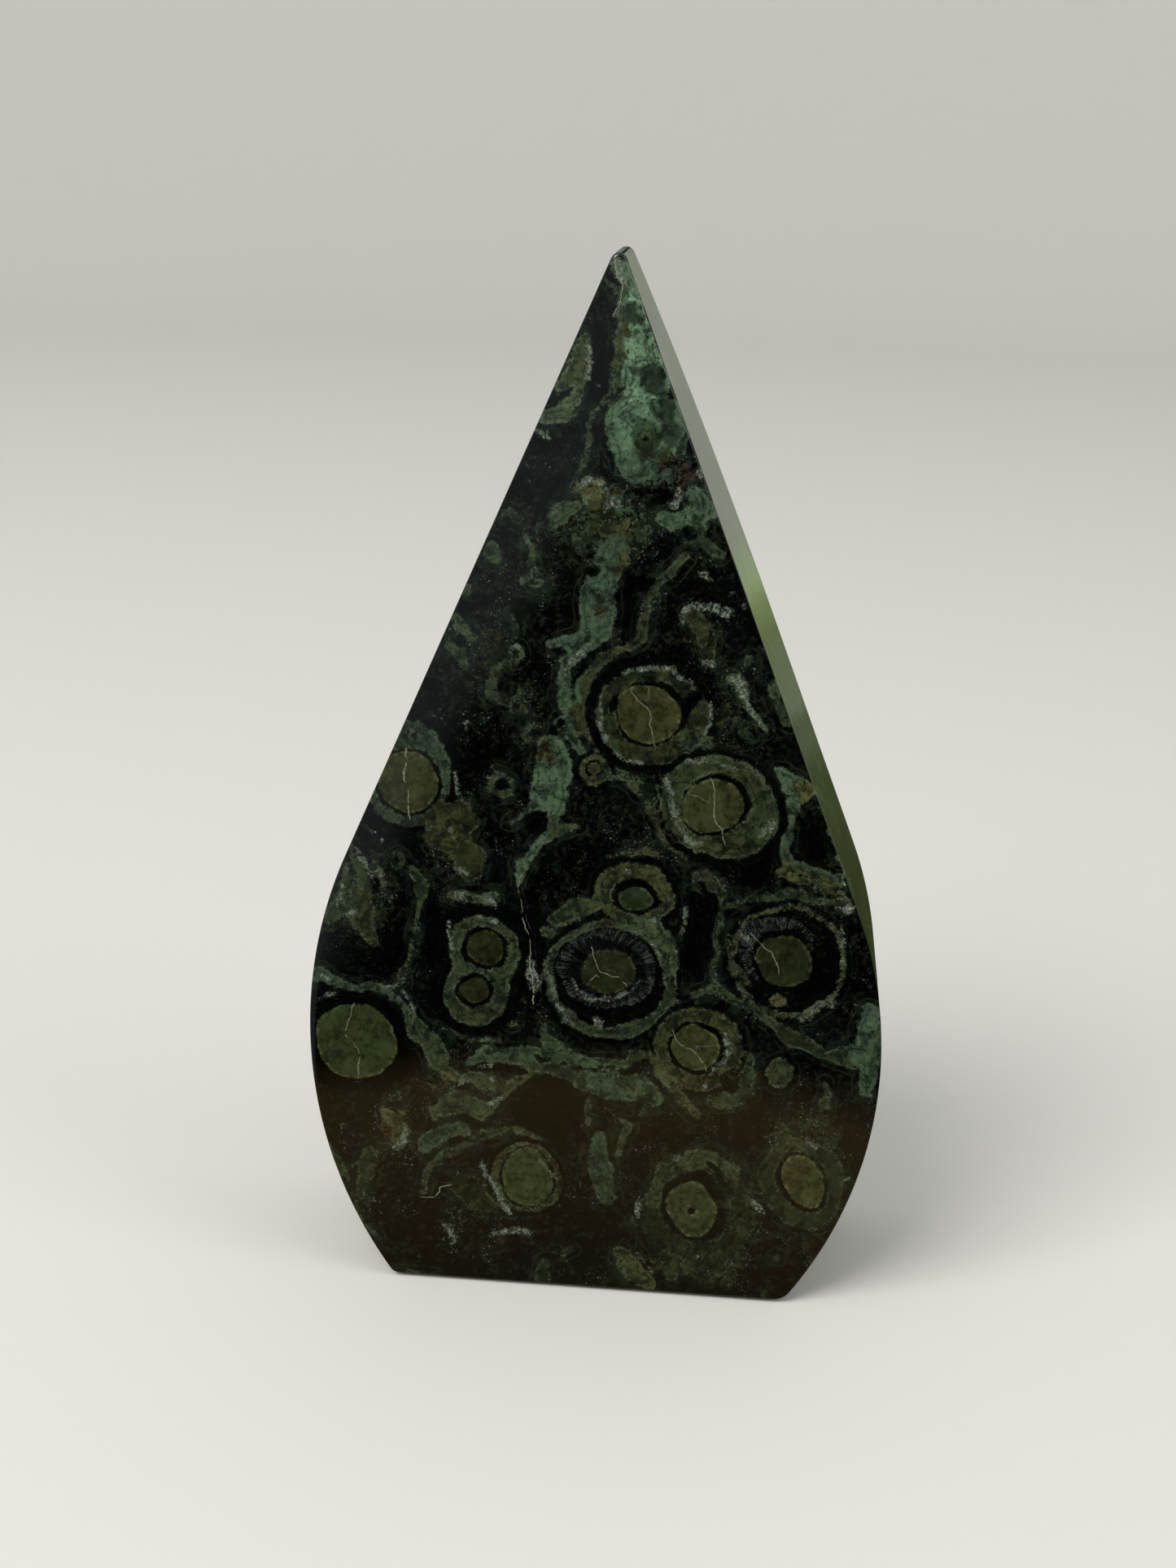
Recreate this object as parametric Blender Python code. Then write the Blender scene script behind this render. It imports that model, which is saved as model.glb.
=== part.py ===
"""A flame of polished jasper, in one piece: a flat slab with a drop-shaped outline that stands on its sawn base.

Metres, +Z up. The broad front face looks along -Y, and the back leans forward to a thin tip.
"""

import math

import bmesh
import bpy

# Overall size of the stone
HEIGHT = 0.120
WIDTH = 0.066
THICKNESS = 0.027

# The outline: on each side one long arc, then a straight flank up to the small rounding of the tip
LEFT_ARC_RADIUS = 0.054
LEFT_WIDEST_HEIGHT = 0.0315
RIGHT_ARC_RADIUS = 0.051
RIGHT_WIDEST_HEIGHT = 0.0296
TIP_OFFSET = -0.0003
TIP_RADIUS = 0.0009
LEFT_CORNER_RADIUS = 0.0012
RIGHT_CORNER_RADIUS = 0.0022

# The back: upright up to this height, then one arc that leans forward to the tip
TAPER_START_HEIGHT = 0.075
TIP_THICKNESS = 0.0115

# Width of the eased edges round both faces, and the steps that round them
EASED_EDGE = 0.0004
EDGE_STEPS = 3

# Number of points on each stretch of one side of the outline
CORNER_POINTS = 4
ARC_POINTS = 24
FLANK_POINTS = 14
TIP_POINTS = 6

POLISHED_GREEN_BLACK = (0.012, 0.017, 0.010, 1.0)
POLISH_ROUGHNESS = 0.08


def clear_scene():
    for obj in list(bpy.data.objects):
        bpy.data.objects.remove(obj)


def jasper_material():
    """Dense, opaque, glass-like polish on a nearly black green stone."""
    material = bpy.data.materials.new("jasper")
    material.use_nodes = True
    shader = material.node_tree.nodes["Principled BSDF"]
    shader.inputs["Base Color"].default_value = POLISHED_GREEN_BLACK
    shader.inputs["Roughness"].default_value = POLISH_ROUGHNESS
    shader.inputs["Metallic"].default_value = 0.0
    return material


def arc_points(centre, radius, start, end, count):
    """Points of an arc without its end point; angles in radians, counted from straight out to the side."""
    angles = [start + (end - start) * step / count for step in range(count)]
    return [(centre[0] + radius * math.cos(a), centre[1] + radius * math.sin(a)) for a in angles]


def side_outline(inset, arc_radius, widest_height, corner_radius, tip_offset):
    """One side of the outline, drawn in by inset, from the base up to just before the very tip.

    Each point is (distance out from the middle line, height). The corner arc touches the base and the long arc,
    and the flank is the line that touches both the long arc and the tip's small arc.
    """
    arc_centre = (WIDTH / 2 - arc_radius, widest_height)
    corner_out = math.sqrt((arc_radius - corner_radius) ** 2 - (widest_height - corner_radius) ** 2)
    corner_centre = (arc_centre[0] + corner_out, corner_radius)
    corner_end = math.atan2(corner_radius - widest_height, corner_out)

    tip_centre = (tip_offset, HEIGHT - TIP_RADIUS)
    across = tip_centre[0] - arc_centre[0]
    up = tip_centre[1] - arc_centre[1]
    flank_angle = math.atan2(up, across) - math.acos((arc_radius - TIP_RADIUS) / math.hypot(across, up))

    points = arc_points(corner_centre, corner_radius - inset, -math.pi / 2, corner_end, CORNER_POINTS)
    points += arc_points(arc_centre, arc_radius - inset, corner_end, flank_angle, ARC_POINTS)
    tip_arc = arc_points(tip_centre, TIP_RADIUS - inset, flank_angle, math.pi / 2, TIP_POINTS)
    flank_start = arc_points(arc_centre, arc_radius - inset, flank_angle, flank_angle, 1)[0]
    for step in range(FLANK_POINTS):
        share = step / FLANK_POINTS
        out = flank_start[0] + share * (tip_arc[0][0] - flank_start[0])
        height = flank_start[1] + share * (tip_arc[0][1] - flank_start[1])
        points.append((out, height))
    return points + tip_arc


def outline(inset):
    """The whole outline as (x, z), from the base's left end up over the tip and down to its right end."""
    left = side_outline(inset, LEFT_ARC_RADIUS, LEFT_WIDEST_HEIGHT, LEFT_CORNER_RADIUS, -TIP_OFFSET)
    right = side_outline(inset, RIGHT_ARC_RADIUS, RIGHT_WIDEST_HEIGHT, RIGHT_CORNER_RADIUS, TIP_OFFSET)
    tip = (TIP_OFFSET, HEIGHT - inset)
    return [(-out, height) for out, height in left] + [tip] + right[::-1]


def back_y(height):
    """Where the back face is at this height."""
    taper_height = HEIGHT - TAPER_START_HEIGHT
    taper_depth = THICKNESS - TIP_THICKNESS
    radius = (taper_height**2 + taper_depth**2) / (2 * taper_depth)
    rise = max(0.0, height - TAPER_START_HEIGHT)
    return THICKNESS / 2 - (radius - math.sqrt(radius**2 - rise**2))


def edge_profile():
    """(inset, depth) of each ring that rounds an edge, from the face to the side wall."""
    angles = [math.pi / 2 * step / EDGE_STEPS for step in range(EDGE_STEPS + 1)]
    return [(EASED_EDGE * (1 - math.sin(a)), EASED_EDGE * (1 - math.cos(a))) for a in angles]


def stone_mesh():
    """Rings of the same outline from the front face to the back, joined by walls and closed by the two faces."""
    bm = bmesh.new()
    rings = []
    for inset, depth in edge_profile():
        rings.append([bm.verts.new((x, -THICKNESS / 2 + depth, z)) for x, z in outline(inset)])
    for inset, depth in reversed(edge_profile()):
        rings.append([bm.verts.new((x, back_y(z) - depth, z)) for x, z in outline(inset)])

    count = len(rings[0])
    for near, far in zip(rings, rings[1:]):
        for i in range(count):
            following = (i + 1) % count
            bm.faces.new((near[i], near[following], far[following], far[i]))

    bm.faces.new(rings[0][::-1])
    back = rings[-1]
    for i in range(count // 2 - 1):
        bm.faces.new((back[i], back[i + 1], back[-2 - i], back[-1 - i]))
    middle = count // 2
    bm.faces.new((back[middle - 1], back[middle], back[middle + 1]))

    bmesh.ops.recalc_face_normals(bm, faces=bm.faces)
    mesh = bpy.data.meshes.new("jasper_flame")
    bm.to_mesh(mesh)
    bm.free()
    mesh.shade_smooth()
    mesh.set_sharp_from_angle(angle=math.radians(35))
    return mesh


clear_scene()
stone = bpy.data.objects.new("jasper_flame", stone_mesh())
stone.data.materials.append(jasper_material())
bpy.context.scene.collection.objects.link(stone)
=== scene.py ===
import math

import bmesh
import bpy
import numpy as np
from mathutils import Matrix, Vector
from mathutils.geometry import delaunay_2d_cdt
from mathutils.noise import noise_vector, seed_set


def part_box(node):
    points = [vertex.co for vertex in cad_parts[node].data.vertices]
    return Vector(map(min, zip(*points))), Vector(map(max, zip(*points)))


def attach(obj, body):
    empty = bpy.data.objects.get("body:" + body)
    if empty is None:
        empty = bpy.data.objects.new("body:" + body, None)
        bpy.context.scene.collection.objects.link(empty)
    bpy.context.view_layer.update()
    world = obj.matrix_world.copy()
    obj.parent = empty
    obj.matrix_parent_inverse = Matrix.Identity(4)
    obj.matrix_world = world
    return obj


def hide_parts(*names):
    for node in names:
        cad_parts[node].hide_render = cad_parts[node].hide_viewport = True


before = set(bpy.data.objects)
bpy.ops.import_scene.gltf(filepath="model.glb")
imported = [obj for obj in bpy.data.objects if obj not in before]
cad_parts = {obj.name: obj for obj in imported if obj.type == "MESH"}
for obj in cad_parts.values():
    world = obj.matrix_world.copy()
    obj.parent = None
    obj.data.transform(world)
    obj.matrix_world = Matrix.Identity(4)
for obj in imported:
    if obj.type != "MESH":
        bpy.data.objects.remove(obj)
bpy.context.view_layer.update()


# The camera stands in front of the stone, a little to its right and above its tip, and looks down at it.
# Its place, turn, tilt and roll follow the photo's vanishing lines; the lens is a phone's two-times lens.
CAMERA_PLACE = (0.0175, -0.2641, 0.1361)
CAMERA_TURN = math.radians(4.36)
CAMERA_TILT = math.radians(16.4)
CAMERA_ROLL = math.radians(2.0)
PHOTO_HEIGHT = 1927
FOCAL_LENGTH_IN_PIXELS = 2894
SENSOR_LONG_SIDE = 36.0
NEAREST_SEEN = 0.01

camera = bpy.data.objects.new("camera", bpy.data.cameras.new("camera"))
bpy.context.scene.collection.objects.link(camera)
camera.data.sensor_width = SENSOR_LONG_SIDE
camera.data.lens = FOCAL_LENGTH_IN_PIXELS / PHOTO_HEIGHT * SENSOR_LONG_SIDE
camera.data.clip_start = NEAREST_SEEN
turned = Matrix.Rotation(CAMERA_TURN, 4, "Z") @ Matrix.Rotation(math.pi / 2 - CAMERA_TILT, 4, "X")
camera.matrix_world = Matrix.Translation(CAMERA_PLACE) @ turned @ Matrix.Rotation(CAMERA_ROLL, 4, "Z")
bpy.context.scene.camera = camera


# The stone's body: one lump of jasper, sawn flat underneath, ground to a drop-shaped slab and polished.
# The front is flat and upright; the back leans forward to a thin tip; every edge is eased by hand.
low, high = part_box("jasper_flame")
HEIGHT = high.z - low.z
WIDTH = 0.066
THICKNESS = high.y - low.y
LEFT_ARC_RADIUS = 0.054
LEFT_WIDEST_HEIGHT = 0.0315
RIGHT_ARC_RADIUS = 0.051
RIGHT_WIDEST_HEIGHT = 0.0296
TIP_OFFSET = -0.0003
TIP_RADIUS = 0.0009
LEFT_CORNER_RADIUS = 0.0012
RIGHT_CORNER_RADIUS = 0.0022
TAPER_START_HEIGHT = 0.075
TIP_THICKNESS = 0.0115
EASED_EDGE = 0.0004
EDGE_STEPS = 4
OUTLINE_SPACING = 0.00042
FRONT_SPACING = 0.00037
BACK_SPACING = 0.00060
WALL_STEPS = 42
FIELD_START = 0.9
FIELD_STAGGER = 0.5
FIELD_END = 0.8
SAME_POINT = 1e-8


def side_outline(inset, arc_radius, widest_height, corner_radius, tip_offset):
    """One side of the outline, drawn in by inset, from the base nearly to the tip, as (out, height)."""
    arc_centre = (WIDTH / 2 - arc_radius, widest_height)
    corner_out = math.sqrt((arc_radius - corner_radius) ** 2 - (widest_height - corner_radius) ** 2)
    corner_centre = (arc_centre[0] + corner_out, corner_radius)
    corner_end = math.atan2(corner_radius - widest_height, corner_out)
    tip_centre = (tip_offset, HEIGHT - TIP_RADIUS)
    across = tip_centre[0] - arc_centre[0]
    up = tip_centre[1] - arc_centre[1]
    flank_angle = math.atan2(up, across) - math.acos((arc_radius - TIP_RADIUS) / math.hypot(across, up))
    points = []
    for centre, radius, start, end in (
        (corner_centre, corner_radius, -math.pi / 2, corner_end),
        (arc_centre, arc_radius, corner_end, flank_angle),
        (tip_centre, TIP_RADIUS, flank_angle, math.pi / 2),
    ):
        count = max(4, round(radius * (end - start) / OUTLINE_SPACING))
        if centre is tip_centre:
            touch = (math.cos(flank_angle), math.sin(flank_angle))
            start_x = arc_centre[0] + (arc_radius - inset) * touch[0]
            start_z = arc_centre[1] + (arc_radius - inset) * touch[1]
            end_x = tip_centre[0] + (TIP_RADIUS - inset) * touch[0]
            end_z = tip_centre[1] + (TIP_RADIUS - inset) * touch[1]
            steps = round(math.hypot(across, up) / OUTLINE_SPACING)
            for step in range(steps):
                share = step / steps
                points.append((start_x + share * (end_x - start_x), start_z + share * (end_z - start_z)))
        for step in range(count):
            angle = start + (end - start) * step / count
            reach = radius - inset
            points.append((centre[0] + reach * math.cos(angle), centre[1] + reach * math.sin(angle)))
    return points


def outline(inset):
    """The whole outline as (x, z), from the base's left end over the tip to its right end and back."""
    left = side_outline(inset, LEFT_ARC_RADIUS, LEFT_WIDEST_HEIGHT, LEFT_CORNER_RADIUS, -TIP_OFFSET)
    right = side_outline(inset, RIGHT_ARC_RADIUS, RIGHT_WIDEST_HEIGHT, RIGHT_CORNER_RADIUS, TIP_OFFSET)
    ring = [(-out, height) for out, height in left] + [(TIP_OFFSET, HEIGHT - inset)] + right[::-1]
    base_right, base_left = ring[-1], ring[0]
    steps = round((base_right[0] - base_left[0]) / OUTLINE_SPACING)
    for step in range(1, steps):
        ring.append((base_right[0] + (base_left[0] - base_right[0]) * step / steps, inset))
    return ring


def back_y(height):
    """Where the back face is at this height: upright, then one arc that leans forward to the tip."""
    taper_height = HEIGHT - TAPER_START_HEIGHT
    taper_depth = THICKNESS - TIP_THICKNESS
    radius = (taper_height**2 + taper_depth**2) / (2 * taper_depth)
    rise = max(0.0, height - TAPER_START_HEIGHT)
    return THICKNESS / 2 - (radius - math.sqrt(radius**2 - rise**2))


def filled(ring, spacing):
    """The flat area inside a ring as points and triangles, on a regular field of points this far apart."""
    across = np.array(ring)
    lowest, highest = across.min(0), across.max(0)
    row_height = spacing * math.sqrt(3) / 2
    field = []
    for row in range(1, int((highest[1] - lowest[1]) / row_height)):
        height = lowest[1] + row * row_height
        crossing = np.where((across[:, 1] < height) != (np.roll(across[:, 1], -1) < height))[0]
        ends = sorted(across[crossing, 0])
        x = ends[0] + spacing * (FIELD_START + FIELD_STAGGER * (row % 2))
        while x < ends[-1] - spacing * FIELD_END:
            field.append(Vector((x, height)))
            x += spacing
    corners = [Vector(p) for p in ring] + field
    points, _, faces, *_ = delaunay_2d_cdt(corners, [], [list(range(len(ring)))], 1, SAME_POINT)
    return points, faces


def stone_mesh():
    """The polished body: rings of the outline from front to back, closed by two finely divided faces."""
    turn = [math.pi / 2 * step / EDGE_STEPS for step in range(EDGE_STEPS + 1)]
    eased = [(EASED_EDGE * (1 - math.sin(a)), EASED_EDGE * (1 - math.cos(a))) for a in turn]
    rings = [[(x, -THICKNESS / 2 + depth, z) for x, z in outline(inset)] for inset, depth in eased]
    full = outline(0)
    for step in range(1, WALL_STEPS):
        share = step / WALL_STEPS
        front = -THICKNESS / 2 + EASED_EDGE
        rings.append([(x, front + share * (back_y(z) - EASED_EDGE - front), z) for x, z in full])
    rings += [[(x, back_y(z) - depth, z) for x, z in outline(inset)] for inset, depth in reversed(eased)]
    count = len(rings[0])
    vertices = [point for ring in rings for point in ring]
    faces = []
    for number in range(len(rings) - 1):
        near, far = number * count, (number + 1) * count
        for i in range(count):
            following = (i + 1) % count
            faces.append((near + i, far + i, far + following, near + following))
    for ring, spacing, is_front in ((rings[0], FRONT_SPACING, True), (rings[-1], BACK_SPACING, False)):
        start = 0 if is_front else (len(rings) - 1) * count
        points, triangles = filled([(x, z) for x, _, z in ring], spacing)
        index = list(range(start, start + count))
        for x, z in points[count:]:
            index.append(len(vertices))
            vertices.append((x, -THICKNESS / 2 if is_front else back_y(z), z))
        for triangle in triangles:
            corners = [index[i] for i in triangle]
            faces.append(corners if is_front else corners[::-1])
    mesh = bpy.data.meshes.new("polished_stone")
    mesh.from_pydata(vertices, [], faces)
    solid = bmesh.new()
    solid.from_mesh(mesh)
    bmesh.ops.recalc_face_normals(solid, faces=solid.faces)
    solid.to_mesh(mesh)
    solid.free()
    mesh.shade_smooth()
    return mesh


# The pattern: mounds of ancient microbes turned to stone. Cut across they show as eyes, olive cores in black
# and green rings, set in nearly black jasper, and green silica has flowed between them and filled gaps.
# Each band and eye is a distance inside its edge, in millimetres across, deep behind the face and up.
MILLIMETRE = 0.001
LAYERS = ("green", "fibre", "core", "pale", "brown")
FAR = 1.6
TONE_MARGIN = 0.8
PURE_BLACK_START = 0.6
PURE_BLACK_GAIN = 1.5
TINY = 1e-6
WARPS = ((6.0, 0.85), (2.6, 0.50), (1.3, 0.16))
BAND_SINK = 3.0
BAND_SINK_BY_WIDTH = 4.0
BAND_SINK_UNEVEN = (0.7, 1.3)
BAND_LEAN = 0.35
EYE_DEPTH = 0.9
EYE_STEADY = 0.4
RAYS_REACH = 1.6
CRACK_REACH = 0.75
PIT_RAGGED_PER_MM = 1.3
PIT_RAGGED = 0.9
MIX_FADE = 1.6
# Painted shade: the greens' lightness falls towards the base, as if the light fell from above.
PAINTED_SHADE_BY_HEIGHT = ((0, 60, 88, 100), (0.70, 0.72, 0.80, 1.0))
TONE_BY_HEIGHT = ((0, 60, 100), (0.22, 0.14, 0.0))
MINT = 0.0
SEA = 0.3
OLIVE = 0.6
YELLOW = 0.9

SEED = 7
draw = np.random.default_rng(SEED)
seed_set(SEED)


class Pattern:
    """What the stone is made of at every point of its mesh: for each layer the distance inside its edge."""

    def __init__(self, mesh):
        places = np.empty(len(mesh.vertices) * 3)
        mesh.vertices.foreach_get("co", places)
        true_place = places.reshape(-1, 3) / MILLIMETRE
        true_place[:, 1] += THICKNESS / 2 / MILLIMETRE
        self.true_place = true_place
        self.place = true_place.copy()
        for length, push in WARPS:
            self.place += push * self.noise(length)
        count = len(true_place)
        self.layers = {layer: np.full(count, -FAR) for layer in LAYERS}
        self.values = {
            name: np.zeros(count) for name in ("pit", "crack_shows", "radial", "ringed", "mixed", "pure")}
        self.values["tone"] = np.full(count, SEA)
        self.values["core_tone"] = np.full(count, OLIVE)
        self.values["light"] = np.ones(count)
        self.values["core_light"] = np.ones(count)
        self.values["crack"] = np.full(count, FAR)
        self.spoke = np.zeros((count, 3))

    def noise(self, length, shift=0.0):
        """A smooth random direction at every point, in waves of this length."""
        start = Vector((shift, shift, shift))
        return np.array([noise_vector(Vector(p) / length + start) for p in self.true_place])

    def close_to(self, low, high, deep):
        """The points within reach of a mark that spans low to high across and up, and goes this deep."""
        across, depth, up = self.place.T
        beside = (across > low[0] - FAR) & (across < high[0] + FAR)
        level = (up > low[1] - FAR) & (up < high[1] + FAR)
        return np.where(beside & level & (depth < deep + FAR))[0]

    def paint(self, layer, near, distance, tone=None, light=None):
        """Lays a mark over what is there. It covers the layers above its own; black covers them all."""
        distance = np.clip(distance, -FAR, FAR)
        above = LAYERS[LAYERS.index(layer) + 1:] if layer != "black" else LAYERS
        for name in above:
            self.layers[name][near] = np.minimum(self.layers[name][near], -distance)
        if layer == "black":
            pure = np.clip(distance * PURE_BLACK_GAIN + PURE_BLACK_START, 0, 1)
            self.values["pure"][near] = np.maximum(self.values["pure"][near], pure)
            return
        self.layers[layer][near] = np.maximum(self.layers[layer][near], distance)
        coloured = near[distance > -TONE_MARGIN]
        prefix = "core_" if layer == "core" else ""
        if tone is not None:
            self.values[prefix + "tone"][coloured] = tone
        if light is not None:
            self.values[prefix + "light"][coloured] = light

    def band(self, layer, tone, light, *stations):
        """A band through stations (across, up, half width) that hangs into the stone like a curtain."""
        stations = np.array(stations)
        widest = stations[:, 2].max()
        deep = BAND_SINK + BAND_SINK_BY_WIDTH * widest * draw.uniform(*BAND_SINK_UNEVEN)
        lean = draw.uniform(-BAND_LEAN, BAND_LEAN, 2)
        margin = widest + BAND_LEAN * deep
        near = self.close_to(stations.min(0)[:2] - margin, stations.max(0)[:2] + margin, deep)
        depth = self.place[near, 1]
        spot = self.place[near][:, ::2] - depth[:, None] * lean
        thinning = 1 - (np.maximum(depth, 0) / deep) ** 2
        distance = np.full(len(near), -FAR)
        for start, end in zip(stations, stations[1:] if len(stations) > 1 else stations):
            run = end[:2] - start[:2]
            share = np.clip(((spot - start[:2]) @ run) / max(run @ run, TINY**2), 0, 1)
            away = np.linalg.norm(spot - start[:2] - share[:, None] * run, axis=1)
            distance = np.maximum(distance, (start[2] + share * (end[2] - start[2])) * thinning - away)
        self.paint(layer, near, distance, tone, light)

    def flow(self, tone, light, *stations):
        """A band of green silica."""
        self.band("green", tone, light, *stations)

    def grain(self, *stations):
        """A string of pale quartz grains."""
        self.band("pale", None, None, *stations)

    def dark(self, *stations):
        """A streak of black jasper."""
        self.band("black", None, None, *stations)

    def egg(self, across, depth, up, tilt, layer, wide, tall, tone=None, light=None, rings=0.0):
        """An egg-shaped body of this half width and height; tilt turns it to the left, in degrees."""
        deep = EYE_DEPTH * (wide + tall) / 2
        reach = max(wide, tall)
        near = self.close_to((across - reach, up - reach), (across + reach, up + reach), depth + deep)
        steadied = self.place[near] * (1 - EYE_STEADY) + self.true_place[near] * EYE_STEADY
        offset = steadied - (across, depth, up)
        turn = math.radians(tilt)
        along = offset[:, 0] * math.cos(turn) + offset[:, 2] * math.sin(turn)
        beside = offset[:, 2] * math.cos(turn) - offset[:, 0] * math.sin(turn)
        scaled = np.sqrt((along / wide) ** 2 + (beside / tall) ** 2 + (offset[:, 1] / deep) ** 2)
        length = np.maximum(np.linalg.norm(offset, axis=1), TINY)
        self.paint(layer, near, length / np.maximum(scaled, TINY) * (1 - scaled), tone, light)
        if layer == "fibre" or rings:
            reached = scaled < RAYS_REACH
            self.spoke[near[reached]] = (offset / length[:, None])[reached]
            self.values["radial"][near[reached]] = (scaled * (wide + tall) / 2)[reached]
            self.values["ringed"][near[reached]] = rings

    def eye(self, across, up, *eggs, tilt=0):
        """Eggs round one centre in the face, each (layer, half width, half height, tone, light, rings)."""
        for egg in eggs:
            self.egg(across, 0.0, up, tilt, *egg)

    def pit(self, across, up, wide, tall, deep, earth=True):
        """A small open pit that the polishing left, lined with brown earth where earth is true."""
        near = self.close_to((across - wide, up - tall), (across + wide, up + tall), 4 * wide)
        offset = self.place[near] - (across, 0, up)
        scaled = np.linalg.norm(offset / (wide, 1.6 * wide, tall), axis=1)
        ragged = np.array([noise_vector(Vector(p) * PIT_RAGGED_PER_MM).x for p in self.true_place[near]])
        scaled += PIT_RAGGED * ragged
        hollow = deep * np.clip(1.1 - scaled, 0, 1) * (0.7 + PIT_RAGGED * np.abs(ragged))
        self.values["pit"][near] = np.maximum(self.values["pit"][near], hollow)
        if earth:
            self.paint("brown", near, (1 - scaled) * min(wide, tall))

    def mix_in(self, across, up, wide, tall, share):
        """Ground where black, green, brown and quartz lie finely mixed; it fades out towards its border."""
        near = self.close_to((across - wide, up - tall), (across + wide, up + tall), 2 * FAR)
        offset = self.place[near] - (across, 0, up)
        scaled = np.linalg.norm(offset / (wide, wide, tall), axis=1)
        strength = share * np.clip(MIX_FADE - MIX_FADE * scaled, 0, 1)
        self.values["mixed"][near] = np.maximum(self.values["mixed"][near], strength)

    def crack(self, *corners, shown=1.0):
        """A hairline crack, healed with pale quartz, through these corners (across, up)."""
        corners = np.array(corners)
        near = self.close_to(corners.min(0), corners.max(0), 2 * FAR)
        spot = self.place[near][:, ::2]
        nearest = np.full(len(near), FAR)
        side = np.full(len(near), FAR)
        for start, end in zip(corners, corners[1:]):
            run = (end - start) / np.linalg.norm(end - start)
            length = np.linalg.norm(end - start)
            share = np.clip((spot - start) @ run, 0, length)
            away = np.linalg.norm(spot - start - share[:, None] * run, axis=1)
            across = (spot - start)[:, 0] * run[1] - (spot - start)[:, 1] * run[0]
            closer = away < nearest
            nearest[closer] = away[closer]
            side[closer] = across[closer]
        shows = shown * np.clip((CRACK_REACH - nearest) / (CRACK_REACH / 2), 0, 1)
        wins = shows > self.values["crack_shows"][near]
        self.values["crack"][near[wins]] = side[wins]
        self.values["crack_shows"][near[wins]] = shows[wins]

    def store(self, mesh):
        """Writes every layer and value onto the mesh as an attribute. The greens are palest near the tip:
        painted shade darkens them towards the base, as if the light fell from above.
        """
        up = self.true_place[:, 2]
        # Painted shade: the greens are darkened towards the base, as if the light fell from above.
        self.values["light"] *= np.interp(up, *PAINTED_SHADE_BY_HEIGHT)
        self.values["tone"] += np.interp(up, *TONE_BY_HEIGHT)
        for name, numbers in {**self.layers, **self.values}.items():
            attribute = mesh.attributes.new(name, "FLOAT", "POINT")
            attribute.data.foreach_set("value", numbers.astype(np.float32))
        attribute = mesh.attributes.new("spoke", "FLOAT_VECTOR", "POINT")
        attribute.data.foreach_set("vector", self.spoke.astype(np.float32).ravel())


body_mesh = stone_mesh()
stone_pattern = Pattern(body_mesh)

# Behind the face the same pattern goes on: wandering seams of green, then eyes on the sides and back.
SEAM_LENGTH = 13.0
SEAM_WIDTH = 0.055
SEAM_SPREAD = 0.16
SEAM_START = 1.5
SEAM_FULL = 6.0
BREADTH_LENGTH = SEAM_LENGTH * 1.7
SEAM_STEEPNESS = 1.2
SHORE_STEEPNESS = 1.6
SEAM_TONE = (0.35, 0.9)
SEAM_LIGHT = (0.75, 0.5)
EYE_TRIES = 700
EYE_RADII = (1.7, 6.0)
EYE_OVAL = (0.85, 1.15)
EYE_TONES = (0.35, 0.8)
EYE_LIGHTS = (0.7, 1.1)
GROWTH_RINGS = (0.0, 0.4)
EYE_CLEARANCE = 1.2
FIBROUS_SHARE = 0.3
FIBRE_RING = 0.88
SMALL_CORE = 0.6
EYE_UNEVEN = 0.07
HALO = 1.42
RING = 1.2
RING_INSIDE = 0.92
CORE = 0.78

everywhere = np.arange(len(stone_pattern.true_place))
wander = stone_pattern.noise(SEAM_LENGTH, 3.0)
breadth = stone_pattern.noise(BREADTH_LENGTH, 9.0)
seam = (SEAM_WIDTH + SEAM_SPREAD * breadth[:, 0] - np.abs(wander[:, 0])) * SEAM_LENGTH / SEAM_STEEPNESS
shore = (SEAM_WIDTH / 2 + SEAM_SPREAD * breadth[:, 1] - np.abs(wander[:, 1])) * SEAM_LENGTH / SHORE_STEEPNESS
behind = np.clip((stone_pattern.true_place[:, 1] - SEAM_START) / (SEAM_FULL - SEAM_START), 0, 1)
seam_tone = np.clip(SEAM_TONE[0] + SEAM_TONE[1] * breadth[:, 2], 0, 1)
seam_distance = np.maximum(seam, shore) - 2 * FAR * (1 - behind)
stone_pattern.paint("green", everywhere, seam_distance)
stone_pattern.values["tone"][:] = seam_tone
stone_pattern.values["light"][:] = SEAM_LIGHT[0] + SEAM_LIGHT[1] * behind * np.abs(breadth[:, 0])

placed = []
for attempt in range(EYE_TRIES):
    spot = stone_pattern.true_place[draw.integers(len(everywhere))]
    radius = draw.uniform(*EYE_RADII)
    wide, tall = radius * draw.uniform(*EYE_OVAL, 2)
    tilt = draw.uniform(0, 180)
    tone, light, rings = draw.uniform(*EYE_TONES), draw.uniform(*EYE_LIGHTS), draw.uniform(*GROWTH_RINGS)
    shallow = spot[1] - EYE_DEPTH * HALO * max(wide, tall) < SEAM_START
    crowded = any(np.linalg.norm(spot - other) < EYE_CLEARANCE * (radius + reach) for other, reach in placed)
    if shallow or crowded:
        continue
    placed.append((spot, radius))
    across, depth, up = spot
    layers = [("black", HALO), ("green", RING), ("black", RING_INSIDE), ("core", CORE)]
    if draw.uniform() < FIBROUS_SHARE:
        layers[3:] = [("fibre", FIBRE_RING), ("black", CORE), ("core", SMALL_CORE)]
    for layer, share in layers:
        colour = (tone, light) if layer in ("green", "core") else (None, None)
        share *= 1 + draw.uniform(-EYE_UNEVEN, EYE_UNEVEN)
        aside, above = draw.uniform(-EYE_UNEVEN, EYE_UNEVEN, 2) * radius
        stone_pattern.egg(
            across + aside, depth, up + above, tilt, layer, wide * share, tall * share, *colour, rings)

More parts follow.
